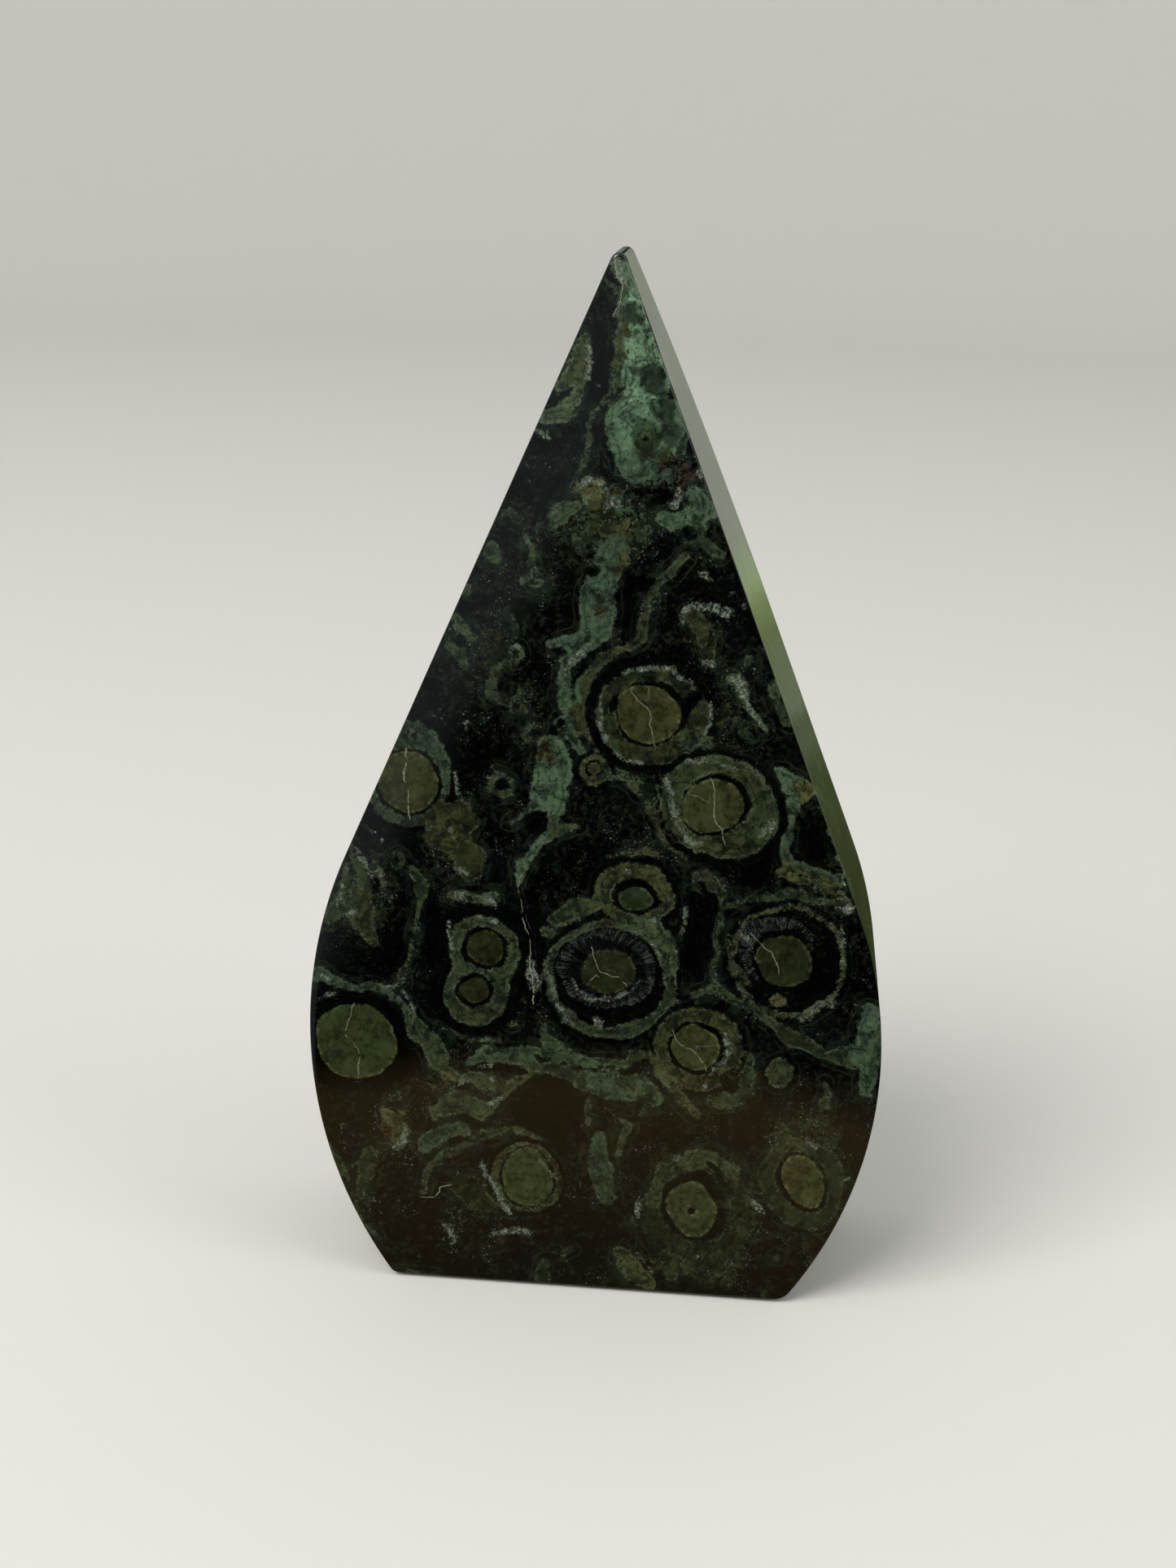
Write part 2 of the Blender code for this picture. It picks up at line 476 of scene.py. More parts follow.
# The face's own marks, from the tip down: first the green plume in the tip and the olive one beside it.
flow, grain, dark = stone_pattern.flow, stone_pattern.grain, stone_pattern.dark
eye, pit, crack = stone_pattern.eye, stone_pattern.pit, stone_pattern.crack
eye(-2, 108, ("black", 1.2, 5), tilt=10)
eye(11.6, 46, ("black", 1.8, 6))
eye(-25, 41, ("black", 3.4, 3.4))
eye(-7.5, 43, ("black", 2, 6.5))
eye(-18.8, 44, ("black", 1.2, 5))
eye(16, 53, ("black", 3, 1.6))
eye(24.5, 57, ("black", 1.6, 2.2))
flow(MINT, 0.8, (5.6, 104.4, 0.9), (6.6, 102, 1.3), (7.4, 99.6, 1))
flow(MINT, 1.1, (1.8, 107, 2), (2.5, 104, 3.1), (2.8, 101, 3.6), (2.6, 98.8, 2.6))
flow(MINT, 1.9, (0.6, 118.4, 0.5), (0.7, 116, 1.1), (1, 114, 1.6), (1.3, 111.5, 1.9), (1.5, 109, 2.1),
     (1.9, 106.5, 1.6))
flow(MINT, 1.6, (3, 111.2, 0.8), (3.9, 109, 0.9), (4.6, 106.6, 0.8))
flow(0.5, 0.9, (-0.6, 113.2, 0.2), (-0.5, 110.8, 0.2), (-0.3, 108.2, 0.25), (-0.2, 106, 0.2))
flow(OLIVE, 1, (5.5, 98.8, 0.3))
flow(MINT, 1.2, (0.2, 119.4, 0.3), (0.3, 118.2, 0.5), (0.4, 117, 0.7))
flow(SEA, 0.6, (-1.5, 116.6, 0.3), (-0.7, 115.8, 0.4))
flow(0.42, 0.98, (-3.9, 111, 0.5), (-3.9, 109.3, 1), (-4.4, 107.3, 1.4), (-5, 105.6, 1.4))
flow(0.42, 0.98, (-7.5, 103, 0.9), (-6, 103.5, 1.1), (-4.6, 103.5, 0.6))
dark((-6.5, 105, 0.3), (-4.5, 106.2, 0.25))
eye(1.3, 113.4, ("green", 0.3, 0.5, MINT, 0.3))
eye(3.8, 107, ("green", 0.4, 1, MINT, 0.3))
eye(0.5, 105.6, ("black", 0.7, 0.4))
flow(MINT, 0.35, (4.8, 105.2, 0.1), (5.2, 103, 0.1), (5.9, 101, 0.1))
dark((5.4, 98, 0.8), (4.6, 96.5, 1.2), (3.6, 95.4, 0.9))
eye(3.2, 100.7, ("green", 0.9, 0.9, SEA, 0.7), ("green", 0.3, 0.3, 0.5, 0.9), ("black", 0.35, 0.3))
pit(1, 110.9, 0.6, 0.5, 0.12)
grain((-0.2, 118.8, 0.6), (-0.1, 117.3, 0.5))
grain((0.3, 116.4, 0.3), (1.1, 115.8, 0.2))
grain((-3.3, 109.8, 0.25), (-3, 108.2, 0.4), (-3.1, 106.8, 0.4))
grain((-8.3, 101.2, 0.4), (-7.4, 100.6, 0.4), (-6.8, 100.2, 0.3))
grain((-1.7, 106, 0.25))
grain((-4.8, 103.2, 0.2))
crack((-0.2, 118.9), (-0.15, 117.3), (-0.2, 116), (-0.1, 114.8), (-0.6, 113.5))

# Below the plume: a dim thread on the left, a yellow knot, and the brown crystal pit at the right edge.
flow(SEA, 0.5, (-0.2, 105.2, 0.3), (-1.6, 103.8, 0.25), (-2.6, 102.3, 0.25), (-2.3, 100.2, 0.3),
     (-2.8, 98.4, 0.4), (-4.2, 96.6, 0.4), (-4.6, 95, 0.5))
flow(YELLOW, 0.85, (-3.2, 94.8, 0.8), (-2.4, 95.6, 0.8), (-2.2, 94.3, 0.7))
grain((-3.6, 95.8, 0.3), (-2.4, 96.5, 0.4), (-1.4, 95.9, 0.35), (-1.2, 94.9, 0.25))
grain((-3.3, 93.9, 0.45))
grain((-1.2, 93.4, 0.35), (0, 94.4, 0.35), (0.5, 93.2, 0.3))
eye(0, 95.1, ("brown", 0.6, 0.5))
grain((6.3, 93.2, 0.45), (6.8, 94.3, 0.5), (6.9, 95.2, 0.4))
pit(7.7, 97, 1, 1, 0.15)
grain((8.2, 95.6, 0.35))
grain((9.2, 97, 0.4))
flow(MINT, 1, (8.6, 95, 0.8), (9.8, 93.6, 1.3), (8.8, 92.3, 1.2), (6.8, 91.6, 0.9), (5.2, 91.9, 0.6))
flow(MINT, 0.9, (9.8, 91, 0.7))
flow(SEA, 0.5, (8.2, 89.6, 0.5), (10, 89.8, 0.6), (12, 89.2, 0.5))
flow(SEA, 1, (-6.2, 91.7, 1), (-5.4, 92.8, 1), (-4.3, 93.3, 0.5))
flow(SEA, 0.8, (-11.9, 91.2, 0.4), (-11, 91.7, 0.6), (-10.2, 91.2, 0.5))
flow(SEA, 0.7, (-3.6, 90, 0.5), (-3.1, 89, 0.5), (-2.8, 88, 0.4))
flow(OLIVE, 0.9, (-0.9, 91.2, 0.9), (0.4, 90.6, 0.9), (1.6, 91.4, 0.5))
flow(SEA, 0.5, (3, 89.5, 0.5), (4.2, 90.5, 0.4))
flow(SEA, 1, (-9.6, 89.2, 0.35), (-9, 88, 0.45), (-9.1, 86.6, 0.4), (-8.3, 85.7, 0.35), (-9.2, 84.6, 0.3))
flow(SEA, 0.8, (-8, 84.7, 0.3), (-7, 84.8, 0.3))
flow(SEA, 0.7, (-13.8, 87.8, 0.8), (-12.9, 86.6, 0.4))
flow(SEA, 0.7, (-15.6, 83.3, 0.3), (-15.7, 82.2, 0.35))
eye(8.5, 90.5, ("black", 0.9, 0.8))

# The left flank above the large eye: short wisps and two small rings.
flow(SEA, 0.8, (-16.4, 80, 0.35), (-16, 78.9, 0.5), (-15.2, 77.8, 0.4))
flow(SEA, 0.8, (-17.8, 77, 0.5), (-16.5, 76.3, 0.7), (-15.8, 75.3, 0.45))
eye(-18.5, 74.5, ("green", 0.6, 0.6, SEA, 0.9), ("black", 0.3, 0.3))
flow(SEA, 0.6, (-10.7, 80.9, 0.3), (-10.1, 79.6, 0.5), (-10.3, 78.3, 0.3))
eye(-9.7, 76.8, ("green", 1, 1, SEA, 0.8), ("black", 0.5, 0.5))
grain((-10.2, 77.6, 0.2), (-9.3, 77.7, 0.2))
flow(SEA, 0.6, (-10.9, 76, 0.25), (-12, 75, 0.4), (-12.5, 73, 0.45), (-12, 71.5, 0.5), (-10.9, 69.9, 0.4))
flow(SEA, 0.5, (-9.8, 72.2, 0.3), (-10.6, 71.2, 0.3), (-9.4, 69.6, 0.25))
eye(-15.1, 68.1, ("pale", 0.35, 0.35), ("black", 0.15, 0.15))
eye(-5, 68.9, ("green", 0.75, 0.75, SEA, 1), ("black", 0.45, 0.45))

# The flow down the middle, which parts into three bands round the upper eye.
flow(MINT, 0.85, (0.3, 88.5, 1.4), (-0.6, 86, 1.6), (-1.2, 83.5, 2.1), (-1.2, 81, 2.1), (-1.8, 79, 1.6),
     (-3.2, 77.8, 1), (-5.5, 77.4, 0.5))
flow(OLIVE, 1, (1.5, 87.6, 0.5), (1.3, 86.6, 0.3))
eye(-1.9, 86.3, ("black", 0.8, 0.8))
dark((1.8, 86.4, 0.3), (2.3, 84, 0.5), (2.4, 81.5, 0.6), (1.9, 79, 0.4))
flow(0.42, 0.8, (3.9, 80.2, 0.5), (3, 79, 0.5), (1.2, 77.7, 0.45), (-0.6, 76.4, 0.5), (-2, 74.8, 0.5),
     (-2.9, 72.8, 0.55), (-3.2, 70.5, 0.6), (-2.8, 68.4, 0.5))
flow(0.42, 0.75, (8.5, 88.2, 0.4), (6.6, 86.6, 0.5), (5.3, 84.8, 0.5), (4.4, 82.8, 0.5), (3.9, 80.8, 0.55),
     (3.6, 79.6, 0.6))
dark((0.6, 78.3, 0.2), (-1.2, 77.2, 0.22), (-2.6, 75.8, 0.22), (-3.5, 74, 0.2), (-3.9, 72, 0.2))
flow(MINT, 0.95, (-1.2, 78.8, 0.9), (-2.8, 77.2, 0.7), (-4, 75.6, 0.7), (-4.6, 73.6, 0.8),
     (-4.7, 71.5, 0.8), (-4.2, 69.5, 0.8), (-3.8, 68, 0.6), (-3.1, 66.3, 0.5), (-2.3, 65.2, 0.4))
grain((-1.6, 78.2, 0.22), (-3, 76.6, 0.22), (-4.3, 74.6, 0.24), (-4.8, 73, 0.2))
pit(-0.9, 81.9, 0.45, 0.9, 0.12)

# The upper pair of eyes, side by side: the first under the parted flow, the second to its lower right.
eye(5, 70.6, ("black", 7.6, 6.9))
flow(OLIVE, 0.55, (-3.2, 70.5, 0.25), (-2.4, 68, 0.25), (-1.2, 66.2, 0.25), (0.6, 64.7, 0.25),
     (3, 63.7, 0.25), (5, 62.8, 0.25))
eye(5, 70.4, ("green", 6.5, 5.4, 0.5, 0.56))
dark((9.3, 72.9, 0.9), (9, 71.9, 0.6))
dark((0.2, 71.2, 0.5), (1.3, 71.9, 0.5))
eye(5, 70.75, ("black", 4, 3.5), tilt=20)
eye(4.75, 70.6, ("core", 3.6, 3.15, OLIVE, 0.98), tilt=-15)
grain((2.2, 75, 0.25), (3.5, 75.5, 0.35), (5, 75.8, 0.3), (7, 75.3, 0.3), (9.2, 74.6, 0.25))
grain((-1.2, 72.4, 0.15), (-1.4, 70.6, 0.2), (-0.9, 68.6, 0.2), (0.4, 66.8, 0.25), (2.2, 65.6, 0.25),
      (4.4, 65.2, 0.2))
grain((11.3, 72.3, 0.15), (11.4, 70.2, 0.2), (10.6, 68.2, 0.2))
flow(SEA, 0.8, (-1, 69.5, 0.2), (0.3, 67, 0.2), (1, 66.3, 0.2))
flow(SEA, 1, (9.5, 68, 0.6), (11, 67.8, 0.5), (12, 67, 0.35))
crack((3, 72.6), (3.5, 71.6), (4.9, 70.6), (5.6, 69.2), (6, 68), shown=0.7)
crack((5, 73.3), (4.6, 71), shown=0.3)
eye(13.2, 60, ("black", 7.9, 6.9), tilt=-30)
flow(OLIVE, 0.55, (6, 62.4, 0.25), (5.9, 60, 0.25), (6.4, 57.6, 0.25), (7.8, 55.4, 0.25), (10, 54, 0.2))
eye(13.1, 60.3, ("green", 6.8, 5.9, 0.4, 0.95), tilt=-30)
eye(12.8, 60.5, ("black", 4, 3.7), tilt=30)
eye(12.45, 60.35, ("core", 3.6, 3.25, OLIVE, 0.98))
grain((6.9, 63.9, 0.15), (7.2, 62.6, 0.3), (7.5, 61.2, 0.25), (8.1, 59.6, 0.3), (8.8, 58, 0.35),
      (9.8, 56.6, 0.45), (11.3, 55.6, 0.25))
grain((18.8, 59.8, 0.3), (18.5, 58.4, 0.45), (17.6, 57.2, 0.3))
grain((9.3, 65.8, 0.2), (11.2, 66.3, 0.25), (13.2, 65.6, 0.25), (15.4, 64.6, 0.2))
crack((11.9, 63.6), (12.3, 61.5), (12.8, 59.5), (13.2, 58.2), (13.9, 57.3), (14, 56))
crack((10, 61.3), (12.3, 60.4), shown=0.4)

# To the right of the upper pair, up to the edge: olive clusters, feathers of crystals and a mint patch.
flow(OLIVE, 0.8, (9.2, 81.6, 1), (10.2, 80.4, 1.2), (11, 78.8, 1), (11.4, 77.4, 0.6))
grain((8, 81.8, 0.35), (8.9, 82.6, 0.4), (10, 83, 0.4), (11.4, 82.9, 0.5), (12.6, 82.3, 0.4))
grain((8.2, 80.8, 0.3))
grain((10.6, 77.1, 0.3), (11.6, 76.8, 0.3))
grain((10.3, 87, 0.4), (11, 86.4, 0.3))
grain((13.3, 84.3, 0.2))
grain((14.3, 83, 0.2))
flow(SEA, 0.8, (15.9, 77.2, 0.3), (15.8, 76.2, 0.4))
flow(SEA, 0.9, (13.6, 74.9, 0.5), (14.6, 74.6, 0.8), (15, 73.4, 0.7), (15.4, 72, 0.5), (16.4, 70.8, 0.35),
     (17.6, 69.4, 0.3))
grain((13.4, 74.9, 0.4), (14.6, 74.4, 0.65), (15.1, 73.2, 0.6), (15.6, 72, 0.4), (16.4, 70.8, 0.3),
      (17.6, 69.4, 0.2))
flow(SEA, 0.45, (14.5, 70, 0.5), (15.4, 69, 0.5), (16, 68, 0.4))
flow(SEA, 0.9, (17.9, 74.6, 0.5), (18.8, 72.6, 0.6), (20.2, 70.6, 0.5))
flow(MINT, 1.15, (20.2, 64.6, 0.6), (21.2, 63, 1.2), (22.4, 62.4, 1.1), (21.3, 61.2, 0.8))
flow(YELLOW, 1.3, (22.6, 63.1, 0.5), (22.9, 62.2, 0.4))
flow(MINT, 0.9, (21, 60.2, 0.4), (20.8, 57.5, 0.55), (20.7, 55.5, 0.6), (21.4, 54, 0.8), (23, 53.2, 0.9),
     (25, 52.8, 1), (26.8, 52.6, 0.9))
flow(OLIVE, 1, (20.2, 53.4, 0.5), (21.8, 52, 0.5), (23.6, 51.5, 0.45), (25.8, 51.3, 0.4),
     (27.6, 51.2, 0.4))
dark((22.2, 54.6, 0.35), (23.2, 55, 0.7), (24.8, 54.9, 0.5))
flow(SEA, 1.2, (25.6, 58.6, 0.35), (26.8, 56, 0.3), (27.5, 53.4, 0.3))
grain((27.3, 55.6, 0.12), (27.7, 53.4, 0.15), (27.8, 51.4, 0.15))
pit(27.8, 49.9, 0.9, 0.8, 0.5, earth=False)
grain((27.5, 49.9, 0.95))

# The mint flow to the left of the pair, its small eye and the loop beside it.
eye(-1, 63.9, ("black", 2.2, 2.1), ("green", 1.75, 1.65, OLIVE, 0.9), ("black", 1, 0.9),
    ("core", 0.75, 0.7, OLIVE, 0.8))
flow(SEA, 0.9, (0.6, 63.6, 0.3), (2.2, 63.5, 0.4), (3.6, 62.7, 0.5), (4.3, 61.4, 0.35))
flow(SEA, 0.5, (5.2, 60.3, 0.3), (5.8, 58.4, 0.4), (6.8, 56.8, 0.5))
flow(SEA, 0.8, (7.2, 58, 0.12), (7.8, 57, 0.12), (8.4, 56, 0.1))
flow(MINT, 1.3, (-5.6, 66.2, 1.4), (-5.6, 64, 1.8), (-5.9, 62, 2.2), (-6.6, 60.3, 1.7), (-7.4, 59.6, 1))
flow(MINT, 1.25, (-5, 61, 1.6), (-4.9, 59.3, 1), (-5.3, 57.5, 0.8), (-6.2, 55.8, 0.7), (-7.6, 54.2, 0.6),
     (-8.6, 52.8, 0.6), (-8.9, 51.3, 0.6), (-8.7, 50.2, 0.4))
flow(SEA, 0.85, (-5, 56.6, 0.9), (-3.2, 56.6, 0.5), (-2, 56.6, 0.2))
flow(YELLOW, 0.8, (-6.9, 65.6, 0.2), (-6.6, 66.3, 0.15))
eye(-7.4, 57.3, ("black", 1.5, 1.5))
flow(SEA, 0.7, (-10.3, 57, 0.3), (-9.2, 58.2, 0.25), (-8.2, 58.7, 0.3))
flow(SEA, 0.8, (-7.8, 68.1, 0.3), (-8.8, 67.9, 0.4), (-8.9, 66.9, 0.35), (-8, 66.3, 0.4))
eye(-8.4, 67.3, ("black", 0.4, 0.4))
pit(-5.6, 65, 0.5, 1, 0.12)
eye(-11.3, 61.3, ("green", 1.5, 1.6, SEA, 0.75), ("black", 0.8, 0.8))
grain((-12.7, 62, 0.2))

# The left side above the low eye: a large eye cut by the edge, an olive patch and clusters of green.
eye(-22, 62.1, ("black", 5.9, 7.4), ("green", 4.8, 6.4, MINT, 0.66))
eye(-21.3, 67, ("black", 0.7, 0.5))
eye(-21.9, 61.2, ("black", 3.75, 4.1), ("core", 3.3, 3.7, OLIVE, 0.9))
crack((-22, 65), (-21.9, 63.5), (-22.1, 61), (-22, 59.5), (-21.7, 57))
grain((-16.9, 63, 0.15), (-16.5, 61.5, 0.2), (-16.1, 60.2, 0.2))
flow(OLIVE, 0.5, (-17.8, 57.5, 1.9), (-16, 57.5, 2.2), (-14.6, 57.2, 1.3))
flow(OLIVE, 0.5, (-18.3, 55.2, 1.7), (-16, 54.8, 1.8), (-14.8, 53, 1.8), (-14.9, 51.3, 1.4))
grain((-16.8, 56.2, 0.35))
grain((-16.4, 55, 0.3))
eye(-14.9, 52.6, ("core", 1.7, 2.3, 0.5, 0.7))
grain((-16, 51.3, 0.35), (-15, 50.9, 0.35))
flow(SEA, 0.9, (-16.6, 48, 0.6), (-15.2, 48.1, 0.6), (-13.6, 48.2, 0.5), (-12.3, 48.6, 0.9))
grain((-16.2, 48.3, 0.4), (-15.4, 47.8, 0.35))
grain((-13, 48.6, 0.5), (-12.1, 48.1, 0.5))
flow(SEA, 0.9, (-20.6, 50.8, 0.6), (-20.1, 49.6, 0.9), (-20.1, 48.2, 0.9), (-20.4, 47, 0.6),
     (-20.5, 46, 0.3), (-20.5, 45.5, 0.15), (-20.9, 43.5, 0.13), (-21.2, 41.5, 0.13), (-21.5, 39.5, 0.3),
     (-21.9, 38, 0.5), (-22.3, 36.9, 0.5))
eye(-22.8, 51.8, ("green", 1, 1, SEA, 0.5), ("black", 0.6, 0.6))
flow(SEA, 0.8, (-28.3, 53.6, 0.3), (-27.6, 52.3, 0.4), (-27, 50.8, 0.5), (-26.6, 49.2, 0.7),
     (-26.3, 48, 0.6))
flow(SEA, 0.8, (-25.3, 51.2, 0.5), (-24.6, 50, 0.6), (-24.3, 49, 0.4))
flow(SEA, 0.8, (-28.7, 50.5, 0.4), (-28.8, 49, 0.5), (-29.3, 47.5, 0.6), (-30, 46, 0.7), (-30.8, 44.8, 0.7))
flow(0.4, 0.85, (-27.2, 47.5, 1.2), (-27, 45.8, 1.8), (-26.5, 44, 1.3), (-26, 42.5, 0.6))
flow(SEA, 0.9, (-29.5, 45.5, 0.9), (-30.8, 44.3, 0.7))
grain((-27.9, 45.3, 0.45))
grain((-27.8, 53, 0.25), (-26.6, 51, 0.35), (-25.8, 49.6, 0.35))
grain((-24.6, 50.4, 0.35), (-24.3, 49.2, 0.25))
grain((-29.2, 48.2, 0.25), (-30, 46.2, 0.3))
grain((-26.8, 56.2, 0.1), (-25, 53.8, 0.1))

# The low eye at the left edge, under its green arch, and the green wedge between it and the middle.
eye(-27.5, 29.4, ("black", 6.6, 6.3))
flow(MINT, 0.85, (-32.4, 37.6, 1), (-30.5, 36.5, 0.9), (-28, 36.2, 0.5), (-25.6, 36.2, 0.5),
     (-23.6, 35.6, 0.5), (-22.2, 34.6, 0.5), (-21.3, 33, 0.5), (-20.9, 31.5, 0.5), (-20.6, 30, 0.5))
grain((-31.6, 36.9, 0.3), (-30.9, 36.6, 0.3))
grain((-24.2, 36.3, 0.15), (-22.8, 36.5, 0.15))
grain((-22.3, 36.2, 0.12), (-21.5, 35, 0.14), (-20.6, 33.9, 0.14), (-20.1, 33, 0.12))
eye(-27.6, 29.5, ("core", 4.6, 4.6, 0.42, 0.92))
grain((-31.5, 34.2, 0.12), (-30.3, 34.7, 0.15))
crack((-27.9, 33.6), (-28.3, 32), (-28.4, 30.5), (-27.8, 29.5), (-27.6, 28.3), (-27.3, 26.6), (-27.3, 25.6),
      shown=0.6)
flow(SEA, 0.45, (-23, 22.3, 0.4), (-21.5, 23.2, 0.5), (-20.6, 24.8, 0.4))
flow(SEA, 1.2, (-20.3, 33, 0.4), (-19.6, 31.5, 0.9), (-18.8, 30, 1.4), (-18.4, 28.6, 1.4), (-18, 27.3, 1))
flow(SEA, 0.85, (-17.3, 26.5, 0.8), (-16, 26, 0.8), (-15, 25.6, 0.5))
flow(YELLOW, 1.1, (-17, 25.3, 0.3))
flow(YELLOW, 1, (-18.6, 24.3, 0.3))

# The cell with two small eyes, one over the other.
eye(-12.8, 41.5, ("black", 5.6, 6))
eye(-13.6, 36.5, ("black", 5.2, 5.6))
eye(-12.8, 41.5, ("green", 4.2, 4.6, SEA, 1))
eye(-13.6, 36.5, ("green", 3.8, 4.2, SEA, 0.95))
grain((-16.7, 44.6, 0.3), (-16.9, 43, 0.25), (-16.4, 41, 0.2))
grain((-13.6, 46, 0.25), (-11.4, 45.8, 0.3))
grain((-9.7, 43, 0.25))
eye(-12.75, 41.9, ("black", 2.75, 2.85), ("core", 2.15, 2.35, OLIVE, 0.47))
eye(-13.8, 36.5, ("black", 2.1, 2.1), ("core", 1.6, 1.55, OLIVE, 0.5))
flow(SEA, 0.6, (-17.3, 31.6, 0.2), (-15.5, 31, 0.25), (-13, 30.6, 0.3), (-11, 31, 0.3))
flow(SEA, 0.7, (-9.4, 33.2, 0.4))

# The eye in the middle with its lobe above, and the white vein beside it.
eye(1.8, 39, ("black", 8.3, 8.1))
eye(4.1, 49.6, ("black", 5.3, 4.7), ("green", 4.5, 3.9, OLIVE, 0.75))
eye(1.8, 39, ("green", 7.7, 7.2, SEA, 0.87))
grain((-5, 42.2, 0.1), (-5.4, 40, 0.18), (-5.2, 38, 0.18), (-4.5, 36, 0.2), (-3.4, 34.5, 0.18),
      (-2, 33.4, 0.15))
flow(SEA, 1, (-4, 46.2, 1), (-2.2, 47.6, 1.3), (-0.6, 48, 1), (0, 49.5, 0.5))
flow(SEA, 0.9, (-5.2, 44.5, 0.8))
flow(SEA, 1.5, (3.5, 45.6, 0.7), (6.2, 45.2, 1.2), (7.6, 43.8, 1.5), (8.8, 42.2, 1))
grain((6.1, 43.6, 0.4), (6.8, 42.7, 0.4))
eye(1.6, 39.2, ("black", 6.4, 5.9))
eye(1.3, 40.2, ("fibre", 5.6, 4.8))
grain((-2.3, 38.8, 0.12), (-1.9, 37.8, 0.18), (-0.8, 36.9, 0.25), (0.6, 36.5, 0.25), (2.4, 36.7, 0.22),
      (4.2, 37.7, 0.18), (5, 39.4, 0.1))
eye(1.4, 40, ("core", 3.1, 2.8, 0.52, 0.5))
grain((0.5, 34.3, 0.5), (0.9, 33.6, 0.4))
crack((-0.4, 42.3), (0, 41), (0.4, 40), (1.2, 39.6), (2.6, 39.1), (3.2, 38.6), shown=0.7)
crack((0.2, 40), (-0.3, 39.2), shown=0.5)
crack((-8.7, 51), (-8.8, 50), (-8.3, 48), (-7.8, 46), shown=0.6)
crack((-7.8, 46), (-7.4, 43.5), (-7.1, 41), (-6.9, 37), (-6.9, 36))
grain((-7.3, 42, 0.1), (-7.1, 40.5, 0.4), (-7, 38.6, 0.6), (-6.9, 37.3, 0.45))
grain((3.5, 52.6, 0.35))
grain((7.8, 49.5, 0.3))
eye(4.1, 49.2, ("black", 2.6, 2.3))
eye(4.1, 49, ("core", 1.9, 1.6, SEA, 0.7))
eye(6.1, 46.3, ("pale", 0.4, 0.4))
flow(YELLOW, 0.7, (1.5, 53.9, 0.15), (3.2, 54.5, 0.3), (5.2, 54.8, 0.35), (6.8, 54.4, 0.25))
flow(SEA, 0.9, (9.8, 48.2, 0.25), (9.8, 46.5, 0.25), (9.5, 44.5, 0.4))
grain((9.8, 48.2, 0.18), (9.8, 46.5, 0.18), (9.6, 45.2, 0.2))
grain((9.6, 37.5, 0.3))
flow(SEA, 0.8, (8.2, 36.8, 0.3), (7.5, 35.5, 0.4), (7, 34, 0.4), (6.9, 32.6, 0.4))
flow(SEA, 0.75, (-4.4, 31.4, 0.4), (-3.2, 30, 0.5), (-1, 29.2, 0.5), (1.5, 28.9, 0.5), (4, 29.1, 0.5),
     (5.8, 30, 0.5), (6.6, 30.6, 0.3))
flow(SEA, 0.8, (-5.6, 33, 0.4), (-5.3, 31.3, 0.8), (-4.9, 30, 0.9))

# The large eye on the right in its thin double outline, with long bands sweeping round it.
flow(SEA, 0.5, (10.8, 51.9, 0.4), (11.7, 52, 0.5), (12.6, 51, 0.6), (13.6, 50.3, 0.5), (14, 48.5, 0.3))
eye(21.8, 42.6, ("black", 7.4, 7.4))
eye(21.8, 42.5, ("green", 6.7, 6.9, OLIVE, 0.7))
grain((27.3, 47.4, 0.2), (28.1, 45.6, 0.25), (28.2, 43.6, 0.2), (27.6, 41.4, 0.15))
grain((25.9, 37.4, 0.15), (24.2, 36.1, 0.1), (22.2, 35.7, 0.1))
eye(21.8, 42.5, ("black", 6.1, 6.3))
eye(20.5, 43.5, ("fibre", 4.5, 4.5))
eye(21.4, 42.6, ("black", 4, 4.1))
eye(21.2, 42.6, ("core", 3.2, 3.4, 0.5, 0.48))
grain((16.4, 46.3, 0.2), (16.8, 45, 0.25), (17.4, 43.5, 0.15), (18.3, 41.8, 0.15))
flow(YELLOW, 1.1, (21, 37.3, 0.6), (21.9, 37.1, 0.5))
crack((18, 45.3), (18.8, 44.7), (20, 43.7), (20.6, 42), (21, 40), shown=0.7)
flow(SEA, 0.65, (13.5, 38.5, 0.35), (13.5, 42, 0.3), (13.4, 45, 0.3), (14, 47.5, 0.3), (15.5, 49, 0.3),
     (17.5, 50, 0.4), (20, 50.3, 0.5), (22, 50.5, 0.5), (25, 50.2, 0.45), (27.5, 49.8, 0.4))
flow(SEA, 0.55, (14.9, 45, 0.2), (15.2, 42.5, 0.25), (16.2, 40.3, 0.25), (17.2, 39, 0.2))
flow(SEA, 0.8, (13.4, 39, 0.5), (14.6, 38.2, 0.6), (16.6, 36.9, 0.5), (18.8, 35.5, 0.5), (20.8, 34.3, 0.6),
     (22.6, 33.4, 1.1), (24.4, 32.9, 0.8), (26.8, 32, 0.6), (28.6, 31.6, 1), (30.2, 31.6, 1.4),
     (31.6, 32, 1.2))
flow(SEA, 0.7, (13, 38.6, 0.4), (11.6, 38.2, 0.25))
flow(SEA, 0.6, (12, 37.2, 0.2), (13.8, 37.1, 0.2))
grain((26, 37.3, 0.4), (27.3, 38.2, 0.3))
flow(MINT, 1.1, (31.4, 36.6, 1), (31, 34.8, 1.6), (31.2, 32.8, 1.4), (31.8, 30.6, 1), (32, 28.4, 0.8),
     (31.8, 27, 0.6))
eye(21.7, 29, ("black", 2.1, 2.4), ("green", 1.6, 1.9, SEA, 0.85))
flow(SEA, 0.8, (20.2, 29, 0.5))
flow(SEA, 0.7, (27.2, 28.2, 0.4), (27.6, 27, 0.5), (27.2, 25.5, 0.7))

